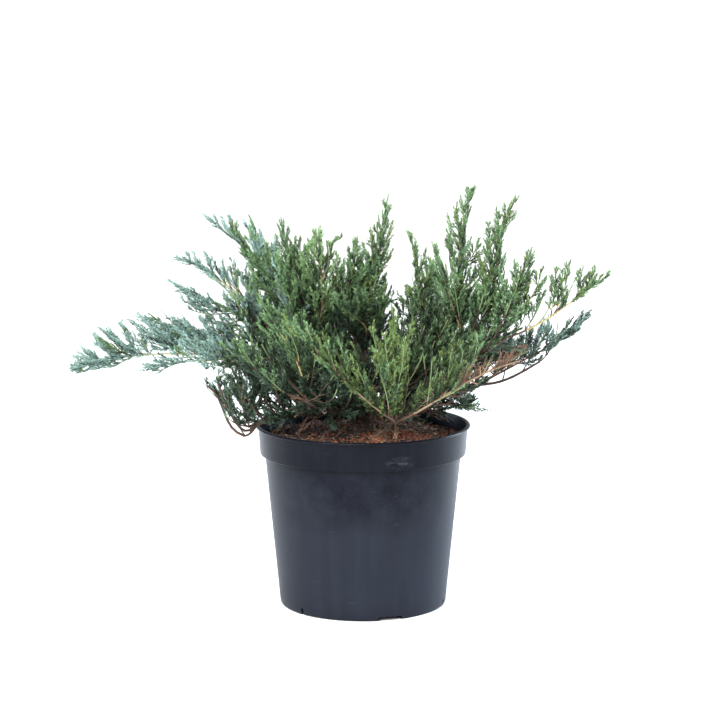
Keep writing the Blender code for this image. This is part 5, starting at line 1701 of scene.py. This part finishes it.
class Crown:
    """The growing foliage: for each tint, a heap of leaves and one of green twigs."""

    def __init__(self, settings):
        self.settings = settings
        self.core = settings.twig_core
        grain = settings.inner_grain
        self.fine = Fineness(settings)
        self.coarse = Fineness(settings, grain, (grain, grain, 1.0))
        self.dry = Fineness(settings, settings.dry_grain, DRY_LEAF)
        self.heaps = {}
        for tint in LEAF_TINTS:
            materials = leaf_materials(settings, tint)
            slot = "juniper_leaf_" + tint
            self.heaps[tint] = [Heap(kind + tint, slot, materials) for kind in ("leaves_", "twigs_")]

    def grow(self, tint, parents, reach, profile, node, fine, draws):
        """Twigs, sprigs and scale leaves on sprays, or on runs of a stem."""
        leaves, twigs = self.heaps[tint]
        twig = kept(side_shoots(parents, fine.twig_spacing, reach, profile, TWIG_STANCE, draws))
        change = draws.choice(SHADE_CHANGES, len(twig.length), p=CHANGE_CHANCES)
        twig.tint = np.clip(twig.tint + change, DEEP, OUTER)
        add_tubes(twigs, twig, (0, 1), self.core * TWIG_CORE, 3, node)
        core = self.core * 0.8
        add_leaves(leaves, twig, fine.leaf_step, TWIG_LEAFY, core, fine.leaf, draws, node)
        spacing = fine.sprig_spacing
        long = twig.picked(twig.length > spacing * 1.6)
        reach = self.settings.sprig_least + long.length * 0.10
        sprig = side_shoots(long, spacing, reach, lance, SPRIG_STANCE, draws)
        sprig.length = np.clip(sprig.length, *SPRIG_LENGTHS)
        add_leaves(leaves, kept(sprig), fine.leaf_step * 0.8, SPRIG_LEAFY, core, fine.leaf, draws, node)

    def clothe(self, tint, sprays, node, fine, draws):
        """Grow twigs and leaves on sprays, with the sprays' own cores and leaves."""
        leaves, twigs = self.heaps[tint]
        sprays = kept(fitted(sprays))
        add_tubes(twigs, sprays, SPRAY_RINGS, self.core * SPRAY_CORE, 3, node)
        add_leaves(leaves, sprays, fine.leaf_step, SPRAY_LEAFY, self.core, fine.leaf, draws, node)
        reach = self.settings.twig_least + sprays.length * self.settings.twig_reach
        self.grow(tint, sprays, reach, lance, node, fine, draws)

    def clothe_dealt(self, name, tint, sprays, node, fine, draws):
        """Clothe the sprays of a mass or bough in its own tint and a second one."""
        for part_tint, part in dealt(name, tint, sprays, self.settings, draws):
            self.clothe(part_tint, part, node if part_tint == tint else None, fine, draws)

    def dress_mass(self, place, name, stem):
        """Sprays on the stem of a mass and on its side stems, and twigs on the stem itself."""
        settings = self.settings
        width, bare, tint = MASSES[name][5:8]
        draws = np.random.default_rng(place)
        spacing = settings.spray_spacing / DENSITY.get(name, 1.0)
        shade = FOOT_SHADES.get(name, 1.0 if tint == "blue" else settings.foot_shade)
        sprays = stem_sprays(name, stem, width * SPRAY_SHARES.get(name, 1.0), bare, spacing, shade, settings)
        if name in DRY_ENDS:
            at_end = np.linalg.norm(sprays.root - stem.point(0.0), axis=1) > stem.length() * DRY_ENDS[name]
            ends = sprays.picked(at_end)
            ends.shorten(DRY_LENGTH)
            self.clothe("dead", ends, None, self.dry, draws)
            sprays = sprays.picked(~at_end)
        kind = self.dry if tint == "dead" else self.fine
        self.clothe_dealt(name, tint, sprays, name, kind, draws)
        for index, (side, side_width, side_bare) in enumerate(side_stems(name, stem, settings)):
            closer = spacing * min(1.0, math.sqrt(side_width / settings.usual_width))
            sprays = stem_sprays(f"{name} side {index}", side, side_width, side_bare, closer, shade, settings)
            self.clothe_dealt(name, tint, sprays, None, kind, draws)
        if name in DRY_ENDS or tint == "dead":
            return
        runs = stem_runs(name, stem, max(bare + RUN_GAP, settings.stem_leafing))
        rest = np.linalg.norm(runs.at(0.5) - stem.point(1.0), axis=1)
        reach = np.minimum(settings.stem_twig, rest * END_TWIG_SHARE + END_TWIG)
        self.grow(tint, runs, reach, even, name, self.fine, draws)

    def dress_bough(self, place, name, bough):
        """Sprays on the side stems and laterals of a bough, and old sprays on the bough itself."""
        settings = self.settings
        draws = np.random.default_rng(500 + place)
        tint = BOUGHS[name][7]
        width = settings.inner_width
        spacing = settings.inner_spray_spacing
        for index, stem in enumerate(inner_stems(name, bough, place, settings)):
            label = f"inner {place} {index}"
            sprays = stem_sprays(label, stem, width, INNER_BARE, spacing, INNER_SHADE, settings)
            if tint == "blue":
                self.clothe_dealt(name, tint, sprays, None, self.coarse, draws)
            else:
                self.clothe(tint, sprays, None, self.coarse, draws)
        spacing = settings.spray_spacing * LATERAL_SPACING
        for index, (stem, width, bare) in enumerate(laterals(name, bough)):
            if bare < 1:
                label = f"{name} lateral {index}"
                sprays = stem_sprays(label, stem, width, bare, spacing, LATERAL_SHADE, settings)
                self.clothe(tint, sprays, None, self.fine, draws)
        sprays = thatch(name, bough, place, settings)
        x, y, z = sprays.at(1.0).T
        free = (np.hypot(x, y) < COLLAR_RADIUS - 0.006) | (z > RIM_HEIGHT + 0.004)
        sprays = sprays.picked(free)
        dried = draws.uniform(0, 1, len(sprays.length)) < settings.dried_share
        dried |= sprays.at(1.0)[:, 2] < RIM_HEIGHT + settings.dried_height
        self.clothe("dead", sprays.picked(dried), None, self.dry, draws)
        # Green old sprays take the dark tint, older foliage that also stands in for painted shade
        self.clothe("dark", sprays.picked(~dried), None, self.coarse, draws)


def build_foliage(settings):
    """Every mass and the inner sprays: pieces of leaves and of green twigs for each tint."""
    crown = Crown(settings)
    boughs, stems = all_limbs()
    for place, (name, stem) in enumerate(stems.items()):
        crown.dress_mass(place, name, stem)
    for place, (name, bough) in enumerate(boughs.items()):
        crown.dress_bough(place, name, bough)
    for heaps in crown.heaps.values():
        for heap in heaps:
            heap.build()


def woody_stems(settings):
    """Every woody stem of the crown: name, limb, tint and the share from which it is green."""
    boughs, stems = all_limbs()
    rows = []
    for name, stem in stems.items():
        rows.append((name, stem, MASSES[name][8], NEVER if name in DRY_ENDS else GREEN_FROM))
    for name, stem in stems.items():
        for index, (limb, _, _) in enumerate(side_stems(name, stem, settings)):
            rows.append((f"{name} side {index}", limb, MASSES[name][8], SIDE_GREEN_FROM))
    for place, (name, bough) in enumerate(boughs.items()):
        for index, limb in enumerate(inner_stems(name, bough, place, settings)):
            rows.append((f"inner {place} {index}", limb, "bark", INNER_GREEN_FROM))
        for index, (limb, _, bare) in enumerate(laterals(name, bough)):
            green_from = LATERAL_GREEN_FROM if bare < DARK_TWIG_BARE else NEVER
            rows.append((f"{name} lateral {index}", limb, "bark", green_from))
    return rows


def build_stems(settings):
    """The woody stems of the masses: bark at the foot, then the stem's own colour, green at the tip."""
    heap = Heap("woody_stems", "juniper_bark", wood_materials(settings))
    turns = turns_round(STEM_SIDES)
    for name, limb, tint, green_from in woody_stems(bpy.context.scene.juniper_foliage):
        shares = np.linspace(*STEM_SPAN, max(8, int(limb.length() / STEM_STEP)))
        seed = random.Random(name + " wood").random() * 50
        radii = []
        for share, run in zip(shares, shares * limb.length()):
            radius = limb.radius(max(share, 0))
            knots = (noise.noise(Vector((run * 160, seed, turn * 0.3))) for turn in turns)
            radii.append([radius * (1 + STEM_KNOTS * knot) for knot in knots])
        points, faces = lofted(limb.point(shares), radii)
        at = shares[np.minimum(faces.min(1) // STEM_SIDES, len(shares) - 1)]
        kinds = np.where(at < BROWN_TO, WOOD_TINTS.index("brown"), WOOD_TINTS.index(tint))
        heap.add(points, faces, np.where(at > green_from, WOOD_TINTS.index("fresh"), kinds))
    heap.build(smooth=True)


def build_dead_twigs(settings):
    """Bare dead twigs between the boughs, forked, grey and brown."""
    boughs, stems = all_limbs()
    heap = Heap("dead_twigs", "juniper_bark", wood_materials(settings))
    bearers = {**boughs, **{name: stems[name] for name in DRY_ENDS}}
    for place, (name, bearer) in enumerate(bearers.items()):
        chance = random.Random(2000 + place)
        rows = []
        count, longest, tints = DEAD_TWIGS.get(name, (settings.dead_twigs, *USUAL_DEAD_TWIGS))
        for _ in range(count):
            at = chance.uniform(*DEAD_SPAN)
            length = chance.uniform(0.4, 1.0) * longest
            tint = WOOD_TINTS.index(chance.choice(tints))
            turn = math.radians(chance.uniform(-170, 170))
            angle = math.radians(chance.uniform(40, 75))
            rows.append(spray(bearer, at, turn, angle, length, chance.random() * 3, tint))
        twig = kept(Shoots(*zip(*rows)), 0.001)
        draws = np.random.default_rng(900 + place)
        fork = kept(side_shoots(twig, 0.012, twig.length * 0.5, lance, DEAD_STANCE, draws), 0.001)
        add_tubes(heap, twig, DEAD_RINGS, DEAD_RADII, STEM_SIDES)
        add_tubes(heap, fork, DEAD_RINGS, DEAD_FORK_RADII, STEM_SIDES)
    heap.build()


# Stage


def aimed(name, data, place, target):
    """An object at a place that faces a target."""
    thing = bpy.data.objects.new(name, data)
    thing.location = place
    thing.rotation_euler = (Vector(target) - Vector(place)).to_track_quat("-Z", "Y").to_euler()
    bpy.context.scene.collection.objects.link(thing)
    return thing


def area_light(name, place, size, power, colour):
    """A soft oblong light that faces the plant."""
    data = bpy.data.lights.new(name, "AREA")
    data.shape = "RECTANGLE"
    data.size, data.size_y = size
    data.energy = power
    data.color = colour
    aimed(name, data, place, (0, 0, 0.3))


def build_stage(settings):
    """A plain pale floor, soft studio light and the camera of the photograph."""
    corners = [(x, y, -0.0002) for x, y in circle(settings.floor_radius, 64)]
    material = new_material("plain_pale_floor", tuple(settings.floor), 0.9, Specular_IOR_Level=0.1)
    floor = plain_object("studio_floor", corners, [tuple(range(64))], material)
    scene = bpy.context.scene
    world = bpy.data.worlds.new("studio_white")
    world.use_nodes = True
    background = world.node_tree.nodes["Background"]
    height = Wire(world.node_tree).node("ShaderNodeTexCoord").part(2)
    sky = height.ramp((0.0, 0.62), (0.10, 0.62), (0.22, 0.45), (0.45, 0.50), (0.72, 1.0))
    sky.feed(background.inputs["Color"], sky)
    background.inputs["Strength"].default_value = settings.world_strength
    scene.world = world
    scene.view_settings.view_transform = "Standard"
    area_light("key_light", (-1.0, -2.6, 2.0), (2.4, 2.0), settings.key_power, (1.0, 0.99, 0.96))
    area_light("right_light", (2.2, 1.0, 0.7), (1.0, 1.8), settings.side_power, (0.62, 0.80, 1.0))
    area_light("left_light", (-2.1, 1.2, 0.7), (0.8, 1.8), settings.back_power, (0.60, 0.78, 1.0))
    data = bpy.data.cameras.new("photo_camera")
    data.lens = settings.lens
    data.sensor_width = 36.0
    scene.camera = aimed("photo_camera", data, CAMERA_PLACE, CAMERA_TARGET)


# Settings


def metres(name, description, default):
    """A length in metres that a user may change."""
    return FloatProperty(
        name=name, description=description, default=default, min=0.0, unit="LENGTH", precision=5
    )


def number(name, description, default):
    """A plain number that a user may change."""
    return FloatProperty(name=name, description=description, default=default, min=0.0)


def amount(name, description, default, least=0):
    """A whole number that a user may change."""
    return IntProperty(name=name, description=description, default=default, min=least)


def paint(name, description, default):
    """A linear colour that a user may change."""
    return FloatVectorProperty(
        name=name, description=description, default=(*default, 1.0), size=4, min=0.0, max=1.0, subtype="COLOR"
    )


class PotSettings(bpy.types.PropertyGroup):
    """Sizes and colours of the pot."""

    lip_edge: metres("Lip edge", "Radius of the rounded edges of lip and foot", 0.0014)
    pot_sides: amount("Sides", "Facets round the pot", 192, 32)
    dust_share: number("Dust", "How much of the dust shows", 0.9)
    plastic: paint("Plastic", "Colour of clean plastic", (0.0012, 0.0018, 0.0050))
    dust: paint("Dust colour", "Colour of dried dust on the plastic", (0.0225, 0.0278, 0.0410))
    scuff: paint("Scuffs", "Colour of worn and scuffed plastic", (0.16, 0.18, 0.20))


class SoilSettings(bpy.types.PropertyGroup):
    """Sizes and colours of the soil and the litter on it."""

    soil_relief: metres("Relief", "Height of the soil's crumbs", 0.0026)
    chips: amount("Chips", "Number of bark chips", 900)
    grit: amount("Grit", "Number of red-brown crumbs before thinning", 4200)
    straws: amount("Straws", "Number of straws and fallen needles", 900)
    peat: paint("Peat", "Colour of the crumbs", (0.125, 0.070, 0.042))
    # Dark peat, also the colour of the painted shade in the hollows and the painted shadow under the foliage
    peat_dark_and_shade: paint("Dark peat", "Colour of the hollows", (0.007, 0.004, 0.003))
    fibre: paint("Fibre", "Colour of the fibres in the soil", (0.15, 0.095, 0.055))
    # Dark chips: wet bark chips, and the painted shadow on the litter under the foliage
    dark_chip_and_shadow: paint("Dark chips", "Colour of wet bark chips", (0.022, 0.012, 0.008))
    chip: paint("Chips colour", "Colour of bark chips", (0.120, 0.070, 0.044))
    chip_red: paint("Red chips", "Colour of the red-brown crumbs", (0.25, 0.072, 0.033))
    chip_pale: paint("Pale chips", "Colour of dry straw and wood", (0.30, 0.205, 0.12))


class BarkSettings(bpy.types.PropertyGroup):
    """Sizes and colours of trunk, boughs, stems and dead twigs."""

    bark_step: metres("Ring spacing", "Distance between two rings of a limb", 0.0024)
    bark_sides: amount("Sides", "Facets round a bough", 14, 5)
    bough_kink: metres("Kinks", "How far a bough strays from its smooth curve", 0.0022)
    dead_twigs: amount("Dead twigs", "Bare dead twigs on each bough", 5)
    bark_red: paint("Fresh bark", "Colour of the bark under its plates", (0.050, 0.024, 0.016))
    bark_grey: paint("Weathered bark", "Colour of the bark's plates", (0.060, 0.043, 0.033))
    bark_dark: paint("Furrows", "Colour of the bark's furrows", (0.035, 0.018, 0.012))
    bark: paint("Old twigs", "Colour of old twigs", (0.055, 0.029, 0.019))
    brown: paint("Brown twigs", "Colour of brown stems", (0.080, 0.041, 0.025))
    red: paint("Red twigs", "Colour of red-brown stems", (0.16, 0.068, 0.040))
    tan: paint("Tan twigs", "Colour of tan stems", (0.235, 0.155, 0.090))
    yellow: paint("Yellow twigs", "Colour of young yellow stems", (0.36, 0.29, 0.12))
    grey: paint("Dead twigs colour", "Colour of dead twigs", (0.26, 0.19, 0.16))
    fresh: paint("Fresh twigs", "Colour of the green ends of stems", (0.14, 0.20, 0.08))


class FoliageSettings(bpy.types.PropertyGroup):
    """Sizes and colours of sprays, twigs, sprigs and scale leaves."""

    spray_spacing: metres("Spray spacing", "Distance between sprays on a stem", 0.0080)
    spray_reach: number("Spray reach", "Length of the sprays beside the rule's", 1.15)
    spire: number("Spire", "Length of a spray beside the rest of its stem", 0.60)
    spray_least: metres("Least spray", "Length of the spray at a stem's tip", 0.0075)
    usual_width: metres("Usual spray", "Spray length below which sprays stand closer", 0.030)
    # Painted shade in the middle of the plant, in steps of the shade ladder
    middle_shade: number("Hollow", "Steps of shade by which the middle of the plant is darker", 1.6)
    mixed_share: number("Second tint", "Largest share of the sprays that take a second tint", 0.75)
    # Painted shade at the foot of a green stem
    foot_shade: number("Foot shade", "Shade of the sprays at the foot of a green stem", 0.55)
    stem_leafing: number("Stem leafing", "Share of a stem from which twigs stand on it", 0.38)
    stem_twig: metres("Stem twigs", "Length of the twigs that stand on a stem", 0.012)
    side_stems: amount("Mass stems", "Number of side stems on a mass", 3)
    side_width: number("Mass stems' sprays", "Length of their sprays beside the mass's", 0.62)
    inner_stems: amount("Side stems", "Number of side stems on a bough", 8)
    inner_reach: metres("Inner reach", "Length of the side stems on a bough", 0.110)
    inner_spray_spacing: metres("Inner sprays", "Distance between sprays on a side stem", 0.0110)
    inner_width: metres("Inner sprays' length", "Length of the sprays on a side stem", 0.042)
    other_share: number("Other tint", "Share of a mass's sprays that take a neighbour's tint", 0.16)
    dry_grain: number("Dry grain", "How much sparser twigs and leaves stand on dry sprays", 1.7)
    inner_grain: number("Inner grain", "Size of the leaves on side stems beside the others", 1.6)
    thatch: amount("Thatch", "Number of old sprays on a bough", 16)
    thatch_reach: metres("Thatch reach", "Length of the old sprays", 0.045)
    dried_share: number("Dried share", "Share of the old sprays that are brown", 0.3)
    dried_height: metres("Dried height", "Height above the rim below which all old sprays are brown", 0.012)
    twig_spacing: metres("Twig spacing", "Distance between twigs on a spray", 0.0034)
    twig_least: metres("Least twig", "Length of the twigs of the shortest sprays", 0.0062)
    twig_reach: number("Twig reach", "Share of a spray's length that its twigs gain", 0.16)
    twig_core: metres("Twig core", "Radius of a green twig under its leaves", 0.00045)
    sprig_least: metres("Least sprig", "Length of the sprigs of the shortest twigs", 0.0024)
    sprig_spacing: metres("Sprig spacing", "Distance between sprigs on a twig", 0.0022)
    leaf_step: metres("Leaf step", "Distance between two pairs of leaves", 0.0022)
    leaf_length: metres("Leaf length", "Length of a scale leaf", 0.0040)
    leaf_width: metres("Leaf width", "Width of a scale leaf", 0.0017)
    leaf_spread: number("Leaf spread", "Degrees between a leaf and its twig", 22)
    # The painted shade of the deeper leaves blends each tint towards this green
    common: paint("Deep green", "Green that the deeper leaves of all tints share", (0.060, 0.115, 0.050))
    blue: paint("Blue-green", "Leaves at the left of the crown", (0.210, 0.322, 0.286))
    green: paint("Green", "Leaves of most of the crown", (0.134, 0.230, 0.106))
    pale: paint("Pale green", "Leaves of the pale head", (0.176, 0.285, 0.124))
    yellow: paint("Yellow-green", "Leaves of the fresh front fan", (0.138, 0.204, 0.064))
    # Older foliage low in the crown, whose dark green also stands in for painted shade there
    dark: paint("Dark green", "Leaves low in the crown", (0.062, 0.104, 0.067))
    dead: paint("Brown", "Dried leaves", (0.245, 0.140, 0.088))


class StageSettings(bpy.types.PropertyGroup):
    """Light, floor and camera."""

    floor_radius: metres("Floor radius", "Radius of the floor", 60.0)
    floor: paint("Floor", "Colour of the floor", (0.93, 0.93, 0.93))
    world_strength: number("World", "Strength of the white surroundings", 1.55)
    key_power: number("Key light", "Power of the key light in watts", 195.0)
    side_power: number("Right light", "Power of the light at the right in watts", 150.0)
    back_power: number("Left light", "Power of the light at the left in watts", 42.0)
    lens: FloatProperty(name="Lens", description="Focal length of the camera in millimetres", default=124.57)


# Operators


class PlantOperator:
    """What the operators share."""

    bl_options = {"REGISTER", "UNDO"}


class JUNIPER_OT_pot(PlantOperator, bpy.types.Operator):
    """Build the nursery pot"""

    bl_idname = "juniper.pot"
    bl_label = "Nursery pot"

    def execute(self, context):
        build_pot(context.scene.juniper_pot)
        return {"FINISHED"}


class JUNIPER_OT_soil(PlantOperator, bpy.types.Operator):
    """Build the soil in the pot"""

    bl_idname = "juniper.soil"
    bl_label = "Soil"

    def execute(self, context):
        build_soil(context.scene.juniper_soil)
        return {"FINISHED"}


class JUNIPER_OT_litter(PlantOperator, bpy.types.Operator):
    """Scatter bark chips, grit and straw on the soil"""

    bl_idname = "juniper.litter"
    bl_label = "Litter"

    def execute(self, context):
        build_litter(context.scene.juniper_soil)
        return {"FINISHED"}


class JUNIPER_OT_bark(PlantOperator, bpy.types.Operator):
    """Build the trunk and the boughs with their bark"""

    bl_idname = "juniper.bark"
    bl_label = "Trunk and boughs"

    def execute(self, context):
        build_bark(context.scene.juniper_bark)
        return {"FINISHED"}


class JUNIPER_OT_stems(PlantOperator, bpy.types.Operator):
    """Build the woody stems and the bare dead twigs"""

    bl_idname = "juniper.stems"
    bl_label = "Stems and dead twigs"

    def execute(self, context):
        build_stems(context.scene.juniper_bark)
        build_dead_twigs(context.scene.juniper_bark)
        return {"FINISHED"}


class JUNIPER_OT_foliage(PlantOperator, bpy.types.Operator):
    """Grow the sprays, twigs and scale leaves"""

    bl_idname = "juniper.foliage"
    bl_label = "Foliage"

    def execute(self, context):
        build_foliage(context.scene.juniper_foliage)
        return {"FINISHED"}


class JUNIPER_OT_stage(PlantOperator, bpy.types.Operator):
    """Build the floor, the lights and the camera"""

    bl_idname = "juniper.stage"
    bl_label = "Stage"

    def execute(self, context):
        build_stage(context.scene.juniper_stage)
        return {"FINISHED"}


OPERATORS = (
    JUNIPER_OT_stage,
    JUNIPER_OT_pot,
    JUNIPER_OT_soil,
    JUNIPER_OT_litter,
    JUNIPER_OT_bark,
    JUNIPER_OT_stems,
    JUNIPER_OT_foliage,
)
SETTINGS = {
    "juniper_pot": PotSettings,
    "juniper_soil": SoilSettings,
    "juniper_bark": BarkSettings,
    "juniper_foliage": FoliageSettings,
    "juniper_stage": StageSettings,
}


class JUNIPER_PT_sidebar(bpy.types.Panel):
    """The plant's pieces in the sidebar"""

    bl_idname = "JUNIPER_PT_sidebar"
    bl_label = "Potted savin juniper"
    bl_space_type = "VIEW_3D"
    bl_region_type = "UI"
    bl_category = "Juniper"

    def draw(self, context):
        column = self.layout.column()
        for operator in OPERATORS:
            column.operator(operator.bl_idname)
        for name, group in SETTINGS.items():
            box = self.layout.box()
            for field in group.__annotations__:
                box.prop(getattr(context.scene, name), field)


CLASSES = (*SETTINGS.values(), *OPERATORS, JUNIPER_PT_sidebar)


def register():
    """Add the classes and the settings to Blender."""
    for one in CLASSES:
        bpy.utils.register_class(one)
    for name, group in SETTINGS.items():
        setattr(bpy.types.Scene, name, PointerProperty(type=group))


def unregister():
    """Take them away again."""
    for name in SETTINGS:
        delattr(bpy.types.Scene, name)
    for one in reversed(CLASSES):
        bpy.utils.unregister_class(one)


def main():
    """Build the plant and its stage."""
    register()
    for operator in OPERATORS:
        group, action = operator.bl_idname.split(".")
        getattr(getattr(bpy.ops, group), action)()


if __name__ == "__main__":
    main()
